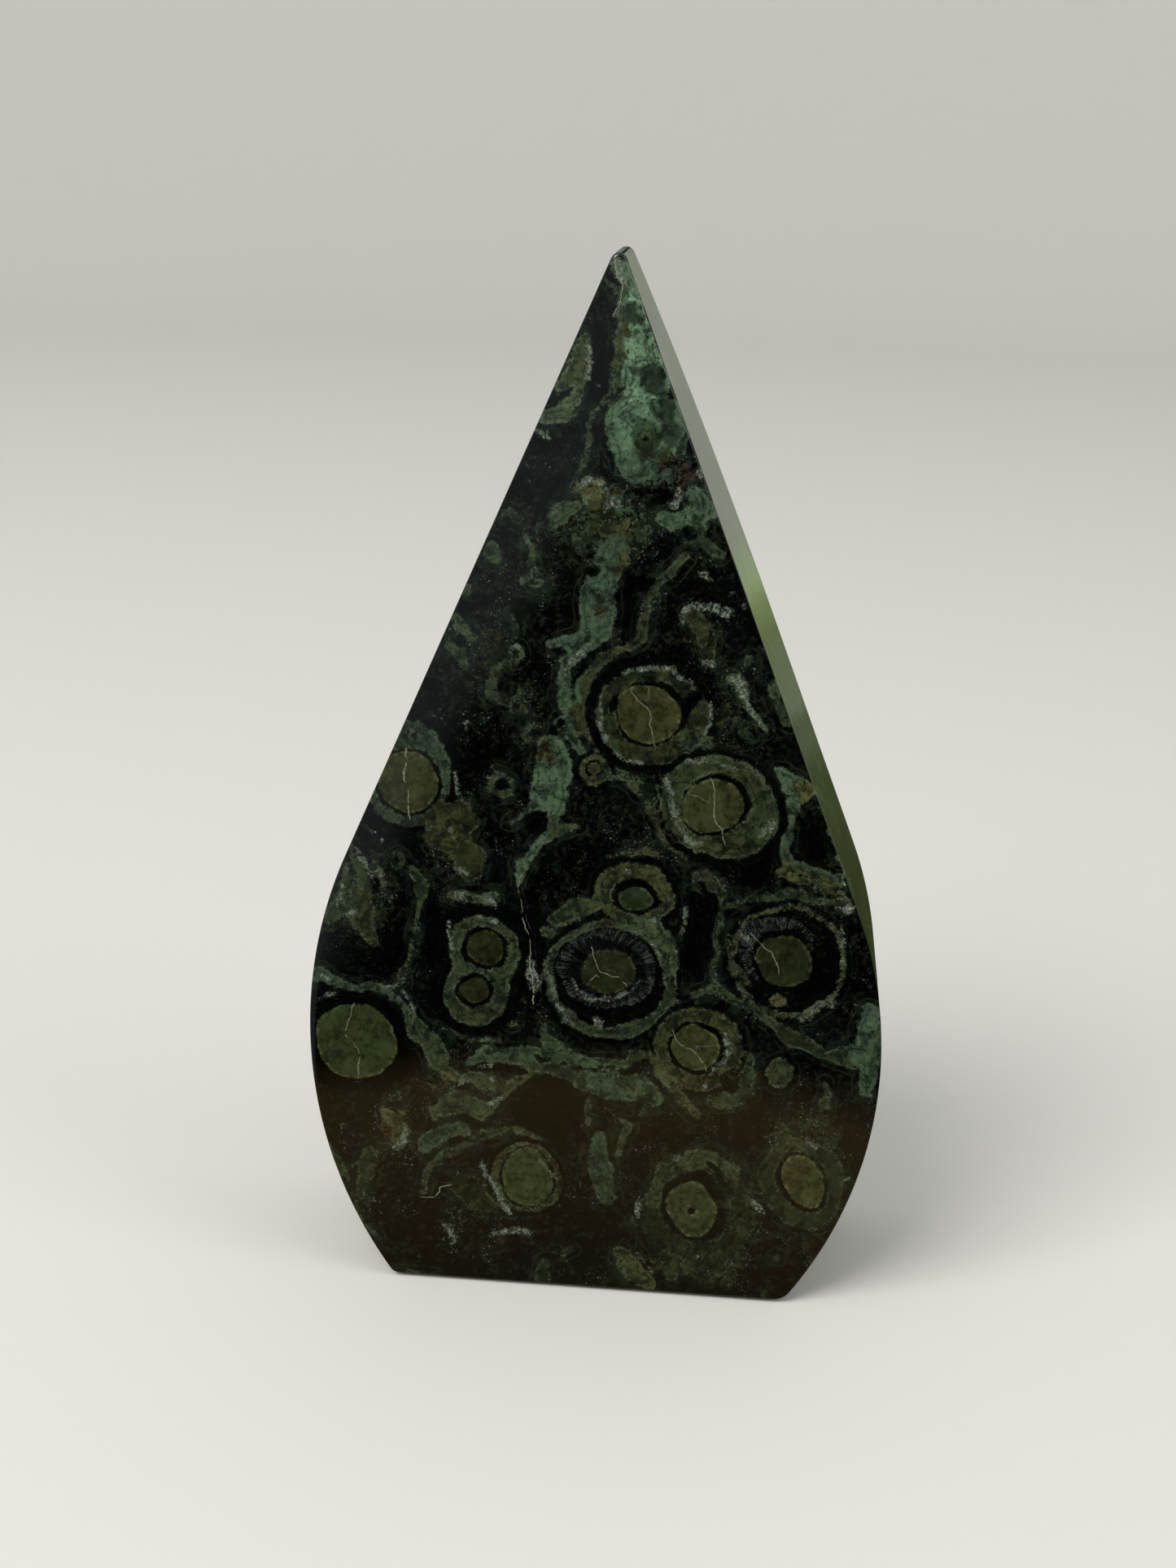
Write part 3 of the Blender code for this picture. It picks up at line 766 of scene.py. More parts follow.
# The eye below the middle, with a bright arc on its right and a hook of green round a black hole.
flow(SEA, 0.8, (16, 33.2, 0.8), (16.5, 31.5, 0.9), (17.2, 29.5, 1.1), (17.8, 28, 1.1), (17.5, 26.5, 1.1),
     (16, 25, 0.9), (14.6, 25.4, 1.1), (13.6, 26.6, 1))
eye(12, 31.3, ("black", 5.6, 6), ("green", 5, 5.4, OLIVE, 0.65))
eye(11.9, 31.4, ("black", 3.3, 3.45))
eye(11.8, 31.5, ("core", 2.65, 2.9, OLIVE, 1))
grain((15, 33.4, 0.2), (15.3, 32, 0.28), (15.2, 30.8, 0.25), (14.6, 29.6, 0.2), (13.6, 28.7, 0.15))
eye(15.8, 27.5, ("black", 1.3, 1.5))
grain((12.8, 26.6, 0.3))
grain((16.8, 29.6, 0.35))
grain((16.3, 33, 0.3))
flow(YELLOW, 0.7, (6.6, 29.6, 0.45), (7.6, 27.8, 0.5), (9, 26, 0.5), (10.9, 24.2, 0.5), (12.9, 22.9, 0.35))
crack((9.4, 33.4), (10.6, 32), (11.6, 31), (12.4, 29.8), (12.7, 28.9), shown=0.8)
crack((12, 31.6), (13.8, 31.9), shown=0.4)

# The wide flow across the lower part, with what hangs from it.
flow(0.05, 1.05, (-14.3, 28.3, 0.6), (-12.5, 29, 1), (-10, 29.1, 1.1), (-7.5, 28.8, 1.3),
     (-5.5, 28.4, 1.8), (-3.6, 27.8, 1.8), (-1.5, 27, 1.9), (0.5, 26.5, 1.8), (2.8, 26.3, 1.8),
     (5, 26.1, 1.7), (6.5, 25.4, 1.4), (7.6, 24.4, 0.9))
flow(0.1, 0.85, (-6.8, 28.9, 0.9), (-5.2, 28.7, 1.1), (-3.8, 28.2, 0.9))
dark((-6.6, 29.2, 0.2), (-5.6, 28.5, 0.3), (-4.7, 28.4, 0.2))
flow(SEA, 0.85, (-7.3, 27, 0.7), (-8.6, 26.2, 0.7), (-9.2, 25, 0.7), (-9.9, 23.6, 0.5))
flow(SEA, 0.9, (-14.2, 26.3, 0.7), (-12.8, 26.1, 1), (-11.3, 25.7, 0.9), (-10.2, 25.2, 0.7))
dark((-14.4, 27.2, 0.3), (-12.4, 27.4, 0.7), (-10, 27.5, 0.65), (-7.8, 27.2, 0.25))
grain((-13.2, 27.6, 0.3), (-11.6, 27.6, 0.25))
eye(-4.9, 22.8, ("black", 4.4, 3.9))
dark((-3.2, 28.1, 0.2), (0, 27.9, 0.18), (3, 27.7, 0.15), (5.4, 28, 0.15))
grain((-11.5, 26.1, 0.4))
grain((-14.9, 25.3, 0.35))
grain((-10.7, 22.2, 0.3))
grain((-11.8, 24.2, 0.35))
flow(0.2, 1, (-18, 21, 0.7), (-16.6, 21.8, 1.4), (-15, 22.4, 1.8), (-13.3, 21.8, 1.6), (-11.8, 22, 1),
     (-10.8, 22.6, 0.5))
dark((-15, 24.4, 0.4), (-13.4, 24.2, 0.6), (-11.9, 23.8, 0.4))
grain((-10.6, 23.4, 0.35), (-11.4, 22.6, 0.3))
flow(MINT, 0.9, (-19.3, 17.3, 1.2), (-18.3, 18, 1.4), (-16.8, 18.6, 0.9), (-15.2, 18.7, 0.7))
flow(YELLOW, 0.8, (-24, 20.3, 0.7), (-22.9, 19.8, 0.8), (-22.2, 18.8, 0.8), (-22.8, 17.3, 0.7))
eye(-23.8, 18.3, ("brown", 0.7, 0.6))
grain((-21.4, 19, 0.25), (-21.9, 17.6, 0.3), (-22.8, 16.7, 0.35))
flow(SEA, 0.85, (-25.8, 15.8, 1), (-26.3, 14, 1), (-26.5, 12, 0.8), (-26.8, 10.3, 0.8))
flow(SEA, 0.6, (-30.6, 16.3, 0.7), (-29.6, 14.6, 0.7), (-28.8, 12.5, 0.5))
flow(SEA, 0.6, (-27.6, 8.5, 0.6), (-26.6, 6.8, 0.5), (-25, 5.2, 0.4))
flow(MINT, 0.75, (0.9, 19.3, 0.5), (1.1, 17.6, 0.9), (1.4, 15.8, 1.1), (1.7, 14, 1), (2, 12.3, 0.8),
     (2.5, 11, 0.4))
flow(SEA, 0.5, (-0.3, 23.8, 0.4), (-0.2, 22.3, 0.5), (-0.3, 20.7, 0.3))
flow(SEA, 0.7, (3.5, 22, 0.3), (4.4, 20.9, 0.6), (3.9, 19.3, 0.5), (3.2, 17.7, 0.4))
flow(SEA, 0.45, (6, 22.5, 0.4), (6.4, 24, 0.3))

# The low eyes: a tall one with growth rings and its lobed neighbour on the left, and a pair on the right.
flow(SEA, 0.8, (-19, 11.3, 0.4), (-19.2, 13, 0.5), (-18.5, 14.8, 0.5), (-16.5, 16.2, 0.5), (-14, 17.6, 0.5),
     (-11.5, 18.9, 0.5), (-9.5, 19.7, 0.35), (-7.5, 19.5, 0.3), (-5.5, 19.2, 0.3))
flow(0.4, 0.30, (-15.3, 12.3, 1.5), (-13.6, 11.8, 1.9), (-12.5, 10.4, 1.8), (-11.5, 9.3, 1))
eye(-7.2, 13.7, ("black", 4.8, 5.2), ("green", 4.3, 4.7, OLIVE, 0.6))
eye(-7.2, 13.8, ("black", 3.25, 4.15), ("core", 3, 3.95, 0.45, 1, 0.6))
grain((-6.2, 17.3, 0.12), (-5, 15.8, 0.14), (-3.8, 14.3, 0.1))
grain((-12.7, 15.2, 0.2), (-11.6, 13.2, 0.35), (-10.6, 11.2, 0.3), (-9.7, 9.6, 0.4), (-9, 8.6, 0.4))
grain((-11.2, 6.1, 0.15), (-9.8, 6.6, 0.3), (-8, 6.7, 0.35), (-6.4, 6.4, 0.3))
grain((-17.3, 7.3, 0.2), (-16.4, 6.5, 0.35), (-15.7, 5.2, 0.3))
crack((-19, 10.3), (-17.5, 10.4), (-17.2, 11.3), (-16.6, 11.7))
flow(SEA, 0.45, (-21, 0.6, 0.4), (-18, 0.4, 0.3))
flow(SEA, 0.6, (-4.6, 2.8, 0.8), (-4.8, 1.2, 0.9))
flow(SEA, 0.6, (-3, 4.2, 0.6), (-1.5, 4.8, 0.4))
flow(0.45, 1, (4.2, 5, 0.8), (4.9, 3.2, 1.4), (6, 1.8, 1.5), (7.8, 1, 0.9))
grain((6.8, 4.4, 0.2), (8, 2.6, 0.2))
flow(SEA, 0.85, (6.8, 9.4, 1.1), (8.6, 8, 0.9), (10.3, 6.3, 1.2), (10.8, 4, 0.9), (10.8, 1.8, 0.8))
grain((5.8, 11.2, 0.5), (7, 10, 0.7), (8.2, 8.6, 0.5))
eye(13, 10.5, ("green", 6.5, 7.5, SEA, 0.25))
dark((14, 16.6, 0.4), (15.6, 15.4, 0.7), (17, 13.9, 0.5))
dark((16.6, 11.5, 0.25), (16.8, 9.4, 0.3), (15.6, 7.2, 0.25))
eye(12.7, 11.2, ("black", 4.1, 4.7), tilt=15)
eye(12.3, 10.9, ("core", 2.9, 3.8, 0.52, 1, 0.4), tilt=15)
eye(12.3, 10.7, ("black", 0.6, 0.55))
flow(SEA, 1, (11.8, 17.3, 0.9), (13.6, 17.8, 0.8), (15.3, 17.3, 0.6), (17.6, 16.8, 0.4))
flow(SEA, 0.9, (8.3, 15.8, 0.8), (8, 14, 0.9), (8.2, 12, 0.8))
grain((10.2, 17.3, 0.4))
grain((13, 4.3, 0.3))
grain((16.8, 4.5, 0.3))
eye(25, 15.3, ("green", 4.8, 5.8, SEA, 0.52), tilt=15)
eye(25.1, 15.4, ("black", 2.9, 3.9), tilt=15)
eye(25.2, 15.5, ("core", 2.4, 3.4, OLIVE, 1.1), tilt=15)
flow(SEA, 0.6, (22, 21.5, 1), (23.5, 20, 0.9))
grain((24.7, 21.3, 0.2), (26.2, 20.6, 0.2))
grain((19.6, 12.9, 0.45), (20.4, 12, 0.45))
grain((29.7, 16.2, 0.3))
flow(SEA, 0.5, (21.5, 1.2, 0.5))
flow(SEA, 0.5, (22.5, 5.5, 0.5))

# Where everything is finely mixed: under the plume, down the left flank and low down.
for across, up, wide, tall, share in (
    (0, 92, 7, 7, 1), (4, 98, 6, 4.5, 1), (-8, 88, 7, 8, 0.5), (9, 93, 4, 6, 0.6), (9.5, 80, 4, 5, 0.7),
    (-13, 76, 5, 8, 0.7), (-9, 70, 4, 6, 0.5), (14, 72, 5, 8, 0.6), (2, 58, 5, 4, 0.45),
    (-17, 53, 4, 6, 0.5), (-27, 47, 5, 8, 0.8), (12, 51, 3, 2, 0.7), (24, 47, 3, 5, 0.4),
    (-14, 24, 8, 5, 0.7), (-23, 19, 4, 5, 0.8), (-13, 7, 8, 6, 0.5), (-26, 12, 4, 8, 0.5),
    (8, 14, 5, 8, 0.5), (13, 4, 9, 4, 1), (18, 12, 4, 8, 0.8), (25, 21, 6, 6, 0.8), (16, 30, 3, 4, 0.7),
    (27, 8, 5, 5, 0.5), (2, 44, 6, 4, 0.5),
):
    stone_pattern.mix_in(across, up, wide, tall, share)
stone_pattern.store(body_mesh)


# The surface: ground flat and polished by hand, so it is a little wavy, and soft or crystalline spots have
# dropped out and left pits and a chipped edge. It is cut into the mesh, because a polish shows every dent.
WAVE_HEIGHT = 0.000018
WAVE_LENGTH = 0.014
PIT_DEPTH = 1.0


class Wire:
    """A socket in a node tree that takes arithmetic: wire * 2 + 1 adds the Math nodes that it needs."""

    def __init__(self, tree, socket=None):
        self.tree = tree
        self.socket = socket

    def add(self, kind, settings=None, inputs=None, output=0):
        """Adds a node: its settings first, then its sockets' values or links. Gives one of its outputs."""
        node = self.tree.nodes.new(kind)
        for name, value in (settings or {}).items():
            if name == "stops":
                stops = node.color_ramp.elements
                for _ in value[2:]:
                    stops.new(1.0)
                for stop, (position, colour) in zip(stops, value):
                    stop.position = position
                    stop.color = colour
            else:
                setattr(node, name, value)
        for name, value in (inputs or {}).items():
            if isinstance(value, Wire):
                self.tree.links.new(value.socket, node.inputs[name])
            else:
                node.inputs[name].default_value = value
        return Wire(self.tree, node.outputs[output])

    def scaled(self, vector, by):
        return self.add("ShaderNodeVectorMath", {"operation": "SCALE"}, {0: vector, "Scale": by}, "Vector")

    def mix(self, share, first, second):
        """The first colour where share is 0, and the second where it is 1."""
        return self.add("ShaderNodeMix", {"data_type": "RGBA"}, {0: share, 6: first, 7: second}, 2)

    def ramp(self, stops, share):
        return self.add("ShaderNodeValToRGB", {"stops": stops}, {"Fac": share}, "Color")

    def maths(self, operation, *values):
        return self.add("ShaderNodeMath", {"operation": operation}, dict(enumerate(values)))

    def __add__(self, other):
        return self.maths("ADD", self, other)

    def __sub__(self, other):
        return self.maths("SUBTRACT", self, other)

    def __mul__(self, other):
        return self.maths("MULTIPLY", self, other)

    def __rsub__(self, other):
        return self.maths("SUBTRACT", other, self)

    __radd__ = __add__
    __rmul__ = __mul__


ground = bpy.data.node_groups.new("ground_by_hand", "GeometryNodeTree")
ground.interface.new_socket("Geometry", in_out="OUTPUT", socket_type="NodeSocketGeometry")
sockets = {}
for name, kind in (
    ("Geometry", "NodeSocketGeometry"), ("Wave height", "NodeSocketFloat"),
    ("Wave length", "NodeSocketFloat"), ("Pit depth", "NodeSocketFloat"),
    ("Material", "NodeSocketMaterial"),
):
    sockets[name] = ground.interface.new_socket(name, in_out="INPUT", socket_type=kind).identifier
given = ground.nodes.new("NodeGroupInput").outputs
sheet = Wire(ground)
height, length, depth = (Wire(ground, given[name]) for name in ("Wave height", "Wave length", "Pit depth"))
where = sheet.scaled(sheet.add("GeometryNodeInputPosition"), height.maths("DIVIDE", 1.0, length))
waves = sheet.add("ShaderNodeTexNoise", {}, {"Vector": where, "Scale": 1.0, "Detail": 1.0}, "Fac")
pits = sheet.add("GeometryNodeInputNamedAttribute", {"data_type": "FLOAT"}, {"Name": "pit"}, "Attribute")
lift = (waves - 0.5) * 2 * height - pits * depth * MILLIMETRE
push = sheet.scaled(sheet.add("GeometryNodeInputNormal", output="Normal"), lift)
moved = sheet.add("GeometryNodeSetPosition", {}, {
    "Geometry": Wire(ground, given["Geometry"]), "Offset": push})
whole = sheet.add("GeometryNodeRealizeInstances", {}, {"Geometry": moved})
dressed = sheet.add("GeometryNodeSetMaterial", {}, {
    "Geometry": whole, "Material": Wire(ground, given["Material"])})
ground.links.new(dressed.socket, ground.nodes.new("NodeGroupOutput").inputs["Geometry"])

polished_jasper = bpy.data.materials.new("polished_jasper")
stone = bpy.data.objects.new("polished_stone", body_mesh)
bpy.context.scene.collection.objects.link(stone)
grinding = stone.modifiers.new("ground_by_hand", "NODES")
grinding.node_group = ground
for name, value in (
    ("Wave height", WAVE_HEIGHT), ("Wave length", WAVE_LENGTH), ("Pit depth", PIT_DEPTH),
    ("Material", polished_jasper),
):
    grinding[sockets[name]] = value
evaluated = bpy.context.evaluated_depsgraph_get()
finished_mesh = bpy.data.meshes.new_from_object(
    stone.evaluated_get(evaluated), preserve_all_data_layers=True, depsgraph=evaluated)
stone.modifiers.remove(grinding)
stone.data = finished_mesh
finished_mesh.name = "polished_stone"
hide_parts("jasper_flame")
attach(stone, "root")


# The stone's colours. The layers' edges are frayed by noise; the greens are mottled, with sugary pale rims;
# cores are fine-grained; black jasper has green clouds and tiny quartz specks; cracks are pale hairlines.
BLACK = (0.0003, 0.0004, 0.0003, 1)
BLUE_BLACK = (0.0008, 0.0016, 0.0017, 1)
BROWN_BLACK = (0.0026, 0.0019, 0.0011, 1)
CLOUD_GREEN = (0.0075, 0.0135, 0.0080, 1)
CONTOUR_GREEN = (0.0140, 0.0235, 0.0120, 1)
BROWN_GROUND = (0.0110, 0.0080, 0.0042, 1)
DIM_CRYSTAL = (0.0120, 0.0130, 0.0080, 1)
SPECK = (0.080, 0.098, 0.082, 1)
GREENS = (
    (MINT, (0.047, 0.083, 0.049, 1)), (SEA, (0.033, 0.055, 0.027, 1)), (OLIVE, (0.031, 0.038, 0.0145, 1)),
    (YELLOW, (0.058, 0.060, 0.021, 1)),
)
RIM_GREEN = (0.092, 0.124, 0.076, 1)
CORES = (
    (SEA, (0.019, 0.031, 0.012, 1)), (OLIVE, (0.027, 0.030, 0.0105, 1)), (YELLOW, (0.038, 0.036, 0.012, 1)))
FIBRE = (0.042, 0.053, 0.046, 1)
QUARTZ = (0.090, 0.118, 0.088, 1)
BRIGHT_QUARTZ = (0.250, 0.280, 0.210, 1)
EARTH = (0.017, 0.011, 0.0045, 1)
CRACK = (0.200, 0.210, 0.145, 1)
POLISH = 0.055
QUARTZ_IOR = 1.54
GRAIN_HEIGHT = 0.000012
GRAIN_STRENGTH = 0.35
BELT_MARKS = 3.5
ALONG_BELT = (0.0, 1.0, 0.05)
CONTOUR_OUT = 0.72
OUTER_CONTOUR_OUT = 1.18
CONTOUR_IN = 0.62
RAYS_PER_EYE = 40.0
GROWTH_PER_MM = 6.5
CRACK_HALF_WIDTHS = (0.075, 0.025)

polished_jasper.use_nodes = True
tree = polished_jasper.node_tree
surface = tree.nodes["Principled BSDF"]
paint = Wire(tree)
place = paint.scaled(paint.add("ShaderNodeTexCoord", output="Object"), 1 / MILLIMETRE)
mix = paint.mix


def stored(name):
    return paint.add("ShaderNodeAttribute", {"attribute_name": name}, output="Fac")


def noise(per_millimetre, detail=2.0, roughness=0.5, swirl=0.0, vector=place):
    return paint.add("ShaderNodeTexNoise", {}, {
        "Vector": vector, "Scale": per_millimetre, "Detail": detail, "Roughness": roughness,
        "Distortion": swirl}, "Fac")


def cells(per_millimetre, output):
    return paint.add("ShaderNodeTexVoronoi", {}, {"Vector": place, "Scale": per_millimetre}, output)


def between(value, low, high):
    """0 below low, 1 above high, with a soft step; low may be the higher of the two."""
    if low > high:
        return 1 - between(value, high, low)
    return paint.add("ShaderNodeMapRange", {"interpolation_type": "SMOOTHSTEP"}, {
        "Value": value, "From Min": low, "From Max": high})


def line(value, outside, inside):
    """A line where value crosses zero: 1 up to inside away from there, and 0 beyond outside."""
    return between(paint.maths("ABSOLUTE", value), outside, inside)


def brightened(colour, amount):
    return paint.add("ShaderNodeMix", {"data_type": "RGBA", "blend_type": "MULTIPLY"}, {
        0: 1.0, 6: colour, 7: amount}, 2)


coarse = noise(0.9, 4, 0.6)
fine = noise(4.5, 2)
broad = noise(0.16, 3)
cloudy = noise(0.42, 6, 0.68, 1.2)
mottled = noise(0.55, 6, 0.66, 0.8)
crystals = cells(2.4, "Color")
sugar = noise(3.3, 1)
fray = (coarse - 0.5) * 1.1 + (fine - 0.5) * 0.5
mixed = stored("mixed")

# The black ground, with dim green clouds and thin green contours that follow the flows and the eyes
height_up = paint.add("ShaderNodeSeparateXYZ", {}, {"Vector": place}, "Z")
brownish = between(height_up + (broad - 0.5) * 60, 34, 8) * 0.8
matrix = mix(between(broad, 0.46, 0.62), BLACK, BLUE_BLACK)
matrix = mix(between(mottled, 0.50, 0.66) * 0.55, matrix, BROWN_BLACK)
matrix = mix(brownish, matrix, BROWN_BLACK)
green_edge = stored("green") + fray
contour_edge = stored("green") + (coarse - 0.5) * 0.6
halo = between(green_edge, -1.15, -0.05) * between(cloudy, 0.42, 0.60)
contour = line(contour_edge + CONTOUR_OUT, 0.17, 0.05) * between(mottled, 0.42, 0.56)
outer_contour = line(contour_edge + OUTER_CONTOUR_OUT, 0.11, 0.03) * between(cloudy, 0.46, 0.58)
clouds = between(cloudy + mixed * 0.10, 0.55, 0.68) * between(mottled, 0.36, 0.60)
matrix = mix(paint.maths("MAXIMUM", halo * 0.8, clouds * 0.8), matrix, CLOUD_GREEN)
matrix = mix(paint.maths("MAXIMUM", contour * 0.42, outer_contour * 0.20), matrix, CONTOUR_GREEN)
dim_crystals = between(crystals, 0.55, 0.85) * between(cloudy, 0.36, 0.60)
matrix = mix(dim_crystals * 0.55, matrix, DIM_CRYSTAL)
dots = cells(2.3, "Distance")
specks = between(dots + (fine - 0.5) * 0.5, 0.30, 0.14) * between(cloudy + mixed * 0.06, 0.44, 0.56)
swarms = between(noise(0.30, 3) + mixed * 0.08, 0.50, 0.62)
matrix = mix(specks * swarms * (0.3 + 0.7 * between(sugar, 0.4, 0.6)), matrix, SPECK)
dust = cells(3.7, "Distance")
matrix = mix(between(dust + (fine - 0.5) * 0.4, 0.18, 0.06) * swarms * 0.7, matrix, SPECK)
matrix = mix(stored("pure") * 0.8, matrix, BLACK)

# The greens
greens = paint.ramp(GREENS, stored("tone") + (broad - 0.5) * 0.5 + (mottled - 0.5) * 0.9)
grainy = noise(3.0, 3, 0.75)
vein = line(noise(0.5, 4, 0.6, 0.8) - 0.5, 0.05, 0.0)
patches = 0.16 + 1.25 * between(mottled, 0.36, 0.62)
mottle = patches * (0.50 + 0.55 * crystals + 0.45 * between(grainy, 0.28, 0.72)) + vein * 0.25
green = brightened(greens, mottle * stored("light"))
hollow = between(noise(1.5, 3, 0.65), 0.42, 0.34)
green = mix(hollow * 0.85, green, CLOUD_GREEN)
layered = line(contour_edge - CONTOUR_IN, 0.16, 0.04) * between(cloudy, 0.60, 0.46)
green = mix(layered * 0.6, green, CLOUD_GREEN)
rim = between(green_edge, 0.40, 0.05) * between(sugar, 0.42, 0.58) * between(cloudy, 0.42, 0.58)
green = mix(rim * 0.75, green, brightened(RIM_GREEN, 0.40 + 0.7 * stored("light")))
colour = mix(between(green_edge + (crystals - 0.5) * 0.1, -0.14, 0.20), matrix, green)
mixed_green = between(noise(0.7, 6, 0.7, 1.5) + mixed * 0.16, 0.60, 0.68) * mixed
colour = mix(mixed_green * 0.85, colour, brightened(greens, 0.18 + 0.75 * between(mottled, 0.35, 0.65)))
mixed_earth = between(noise(0.9, 4, 0.6, 1.0), 0.56, 0.64) * mixed
colour = mix(mixed_earth * 0.7, colour, BROWN_GROUND)
mixed_quartz = between(noise(2.6, 3, 0.6), 0.60, 0.70) * between(mottled, 0.46, 0.58) * mixed
colour = mix(mixed_quartz * 0.75, colour, QUARTZ)

# Fibres that stand like rays round an eye
spoke = paint.add("ShaderNodeAttribute", {"attribute_name": "spoke"}, output="Vector")
rays = paint.scaled(spoke, RAYS_PER_EYE)
broken = between(noise(2.2, 3, 0.7), 0.40, 0.62)
outermost = 0.22 + 0.78 * between(stored("fibre"), 1.5, 0.5)
sparkling = 0.15 + 0.6 * broken + 0.5 * between(crystals, 0.4, 0.75)
streaks = between(noise(1.0, 2, vector=rays), 0.36, 0.70) * sparkling * outermost
fibres = mix(streaks, BLACK, FIBRE)
colour = mix(between(stored("fibre") + fray * 0.7, -0.06, 0.10), colour, fibres)

# The cores
core_edge = stored("core") + fray * 0.40 + (grainy - 0.5) * 0.30
cores = paint.ramp(CORES, stored("core_tone") + (broad - 0.5) * 0.3)
growth = paint.maths("SINE", stored("radial") * GROWTH_PER_MM + coarse * 2.0) * stored("ringed") * 0.22
core_patches = between(noise(0.7, 5, 0.7), 0.32, 0.68)
core_grain = 0.12 + 0.35 * noise(5.5, 3, 0.75) + 0.40 * crystals + 0.95 * core_patches + growth
sugary = 1.0 + 1.1 * between(core_edge, 0.5, 0.1) * between(crystals, 0.45, 0.75)
core = brightened(cores, core_grain * sugary * stored("core_light"))
colour = mix(between(core_edge, -0.10, 0.12), colour, core)

# Quartz grains, brown earth in the pits, and the healed cracks
pale_edge = stored("pale") + fray * 1.2
quartz = mix(between(noise(4.0, 1), 0.52, 0.66), QUARTZ, BRIGHT_QUARTZ)
quartz_shows = between(pale_edge, -0.20, 0.24) * (0.08 + 0.92 * between(noise(2.7, 4, 0.75), 0.44, 0.58))
colour = mix(quartz_shows, colour, quartz)
earth_shows = between(stored("brown") + fray, -0.10, 0.12)
colour = mix(earth_shows * 0.9, colour, brightened(EARTH, 0.10 + 2.2 * between(grainy, 0.40, 0.66)))
healed = line(stored("crack") + (noise(1.6, 2) - 0.5) * 0.45, *CRACK_HALF_WIDTHS)
crack_shows = healed * stored("crack_shows") * between(noise(1.3, 2), 0.34, 0.50)
colour = mix(crack_shows * 0.9, colour, CRACK)

open_pit = between(stored("pit"), 0.03, 0.12)
dull = POLISH + 0.05 * between(green_edge, -0.1, 0.2) + 0.12 * quartz_shows + 0.25 * open_pit + 0.03 * broad
along_side = paint.add("ShaderNodeVectorMath", {"operation": "MULTIPLY"}, {
    0: place, 1: ALONG_BELT}, "Vector")
belt_marks = noise(0.30, 2, vector=along_side)
grain_relief = paint.add("ShaderNodeBump", {}, {
    "Strength": GRAIN_STRENGTH, "Distance": GRAIN_HEIGHT,
    "Height": fine * (quartz_shows + open_pit * 3 + 0.15) + belt_marks * BELT_MARKS}, "Normal")
for name, wire in (("Base Color", colour), ("Roughness", dull), ("Normal", grain_relief)):
    tree.links.new(wire.socket, surface.inputs[name])
surface.inputs["IOR"].default_value = QUARTZ_IOR


# The studio: a pale floor that curves up all round into a low wall, a big soft light from the upper left, a
# weaker one from the right, and a pale room. A polished face mirrors what it stands on, so glowing cards
# that only reflections see lie in front of and behind the stone. They are no lamps; their glow paints the
# reflections in the polish: brown near the foot, dark further out, pale far to the left, and green in
# patches behind on the right.
FLOOR_RADIUS = 1.1
SWEEP_RADIUS = 0.6
WALL_HEIGHT = 1.0
SWEEP_STEPS = 12
ROUND_STEPS = 96
FLOOR_COLOUR = (0.72, 0.71, 0.68, 1)
FLOOR_ROUGHNESS = 0.75
CARD_DROP = 0.0002
CARD_SCALE = 0.996
FOOT_CARD_SPAN = (0.020, 0.070)
NEAR_CARD_EDGE = (0.072, 0.088)
PALE_CARD_SIDE = (-0.049, -0.055)
FOOT_CARD_GLOW = (0.10, 0.085, 0.043, 1)
NEAR_CARD_GLOW = (0.30, 0.21, 0.085, 1)
DARK_CARD_GLOW = (0.0015, 0.0015, 0.0015, 1)
PALE_CARD_GLOW = (0.195, 0.225, 0.215, 1)
RIGHT_CARD_SIDE = (0.034, 0.038)
RIGHT_CARD_LENGTH = (0.0, 0.75)
RIGHT_CARD_PATCHES = 14.0
RIGHT_CARD_UNEVEN = 0.28
RIGHT_CARD_STOPS = (
    (0.00, (0.020, 0.028, 0.012, 1)), (0.22, (0.045, 0.06, 0.02, 1)), (0.40, (0.075, 0.10, 0.038, 1)),
    (0.50, (0.18, 0.22, 0.145, 1)), (0.64, (0.165, 0.21, 0.075, 1)), (0.80, (0.37, 0.50, 0.23, 1)),
    (1.00, (0.35, 0.37, 0.31, 1)),
)
ROOM_GLOW = (0.60, 0.61, 0.61, 1)
ROOM_STRENGTH = 1.0
LIGHTS = (
    ("key_light", (-0.6, -0.8, 1.0), 0.8, 15, (1.0, 0.98, 0.95)),
    ("fill_light", (1.0, -0.5, 0.7), 0.7, 3, (0.94, 0.98, 1.0)),
)


def staged(name, points, faces, material):
    """A piece of the studio, which is no part of the stone."""
    mesh = bpy.data.meshes.new(name)
    mesh.from_pydata(points, [], faces)
    mesh.materials.append(material)
    mesh.shade_smooth()
    stage_piece = bpy.data.objects.new(name, mesh)
    bpy.context.scene.collection.objects.link(stage_piece)
    return stage_piece


pale_floor = bpy.data.materials.new("pale_floor")
pale_floor.use_nodes = True
for name, value in (
    ("Base Color", FLOOR_COLOUR), ("Roughness", FLOOR_ROUGHNESS), ("Specular IOR Level", 0.0),
):
    pale_floor.node_tree.nodes["Principled BSDF"].inputs[name].default_value = value
profile = [(FLOOR_RADIUS, 0.0)]
for step in range(1, SWEEP_STEPS + 1):
    angle = math.pi / 2 * step / SWEEP_STEPS
    profile.append((FLOOR_RADIUS + SWEEP_RADIUS * math.sin(angle), SWEEP_RADIUS * (1 - math.cos(angle))))
profile.append((FLOOR_RADIUS + SWEEP_RADIUS, SWEEP_RADIUS + WALL_HEIGHT))
points, faces = [], [list(range(ROUND_STEPS))]
for reach, rise in profile:
    for step in range(ROUND_STEPS):
        angle = 2 * math.pi * step / ROUND_STEPS
        points.append((reach * math.cos(angle), reach * math.sin(angle), rise - 2 * CARD_DROP))
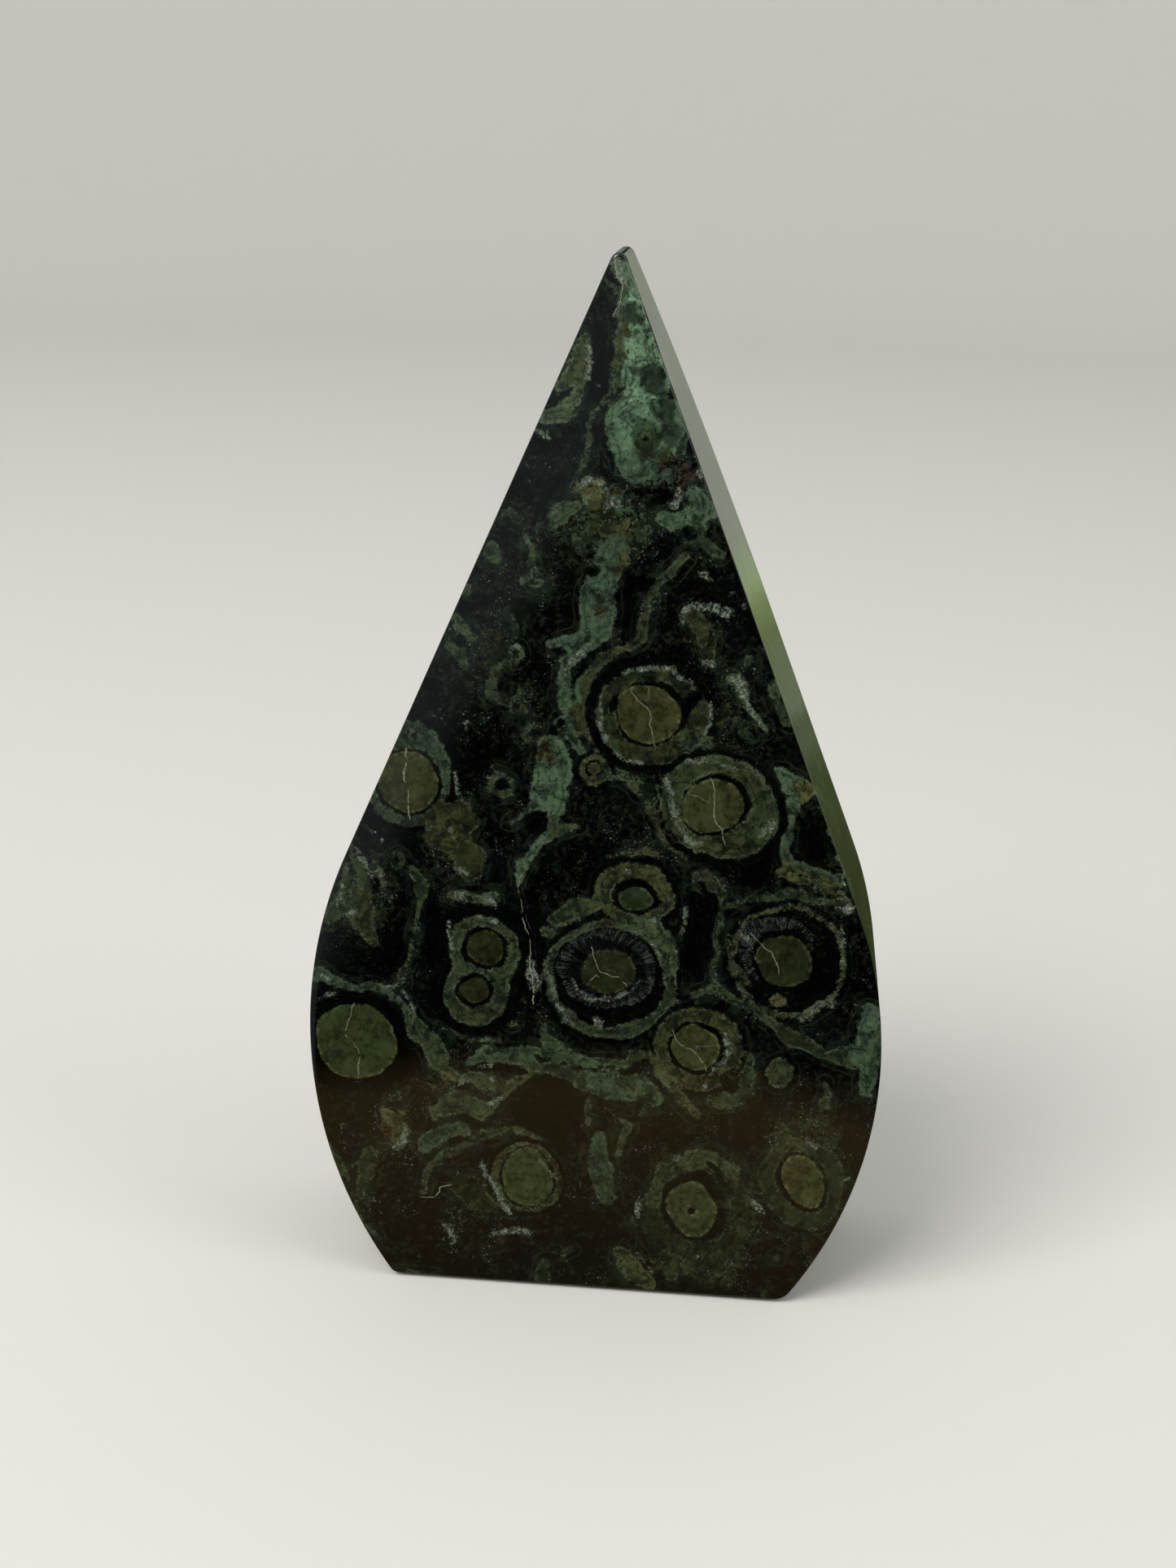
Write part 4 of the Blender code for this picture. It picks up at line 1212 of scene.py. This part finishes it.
for ring in range(len(profile) - 1):
    for step in range(ROUND_STEPS):
        following = (step + 1) % ROUND_STEPS
        near, far = ring * ROUND_STEPS, (ring + 1) * ROUND_STEPS
        faces.append((near + step, far + step, far + following, near + following))
staged("floor", points, faces, pale_floor)

card = bpy.data.materials.new("painted_reflection_card")
card.use_nodes = True
card.node_tree.nodes.remove(card.node_tree.nodes["Principled BSDF"])
ink = Wire(card.node_tree)
spot = ink.add("ShaderNodeTexCoord", output="Object")
distance = ink.add("ShaderNodeVectorMath", {"operation": "LENGTH"}, {0: spot}, "Value")
aside = ink.add("ShaderNodeSeparateXYZ", {}, {"Vector": spot}, "X")
behind_by = ink.add("ShaderNodeSeparateXYZ", {}, {"Vector": spot}, "Y")


def rising(value, start, end):
    """0 before start, 1 beyond end and even between them; end may be the lower of the two."""
    return ink.add("ShaderNodeMapRange", {}, {"Value": value, "From Min": start, "From Max": end})


patchy = ink.add("ShaderNodeTexNoise", {}, {
    "Vector": spot, "Scale": RIGHT_CARD_PATCHES, "Detail": 3.0}, "Fac")
along_card = rising(behind_by, *RIGHT_CARD_LENGTH) + (patchy - 0.5) * RIGHT_CARD_UNEVEN
on_right_card = ink.maths("GREATER_THAN", behind_by, 0.0) * rising(aside, *RIGHT_CARD_SIDE)
near_glow = ink.mix(rising(distance, *FOOT_CARD_SPAN), FOOT_CARD_GLOW, NEAR_CARD_GLOW)
glow = ink.mix(rising(aside, *PALE_CARD_SIDE), DARK_CARD_GLOW, PALE_CARD_GLOW)
glow = ink.mix(rising(distance, *NEAR_CARD_EDGE), near_glow, glow)
glow = ink.mix(on_right_card, glow, ink.ramp(RIGHT_CARD_STOPS, along_card))
# The card's glow is painted reflection: it lights the polish though it is no lamp.
shine = ink.add("ShaderNodeEmission", {}, {"Color": glow, "Strength": 1.0})
card.node_tree.links.new(shine.socket, card.node_tree.nodes["Material Output"].inputs["Surface"])
points = [(x * CARD_SCALE, y * CARD_SCALE, z + CARD_DROP) for x, y, z in points]
cards = staged("painted_reflection_card", points, faces, card)
for ray in ("camera", "diffuse", "transmission", "volume_scatter", "shadow"):
    setattr(cards, "visible_" + ray, False)


def soft_light(name, place, size, power, colour):
    """A square light of this size at this place, aimed at the middle of the stone."""
    lamp = bpy.data.lights.new(name, "AREA")
    lamp.size = size
    lamp.energy = power
    lamp.color = colour
    light = bpy.data.objects.new(name, lamp)
    light.location = place
    light.rotation_euler = (Vector((0, 0, HEIGHT / 2)) - Vector(place)).to_track_quat("-Z", "Y").to_euler()
    bpy.context.scene.collection.objects.link(light)


for lamp in LIGHTS:
    soft_light(*lamp)
room = bpy.data.worlds.new("room")
room.use_nodes = True
room.node_tree.nodes["Background"].inputs["Color"].default_value = ROOM_GLOW
room.node_tree.nodes["Background"].inputs["Strength"].default_value = ROOM_STRENGTH
bpy.context.scene.world = room
bpy.context.scene.view_settings.view_transform = "Standard"
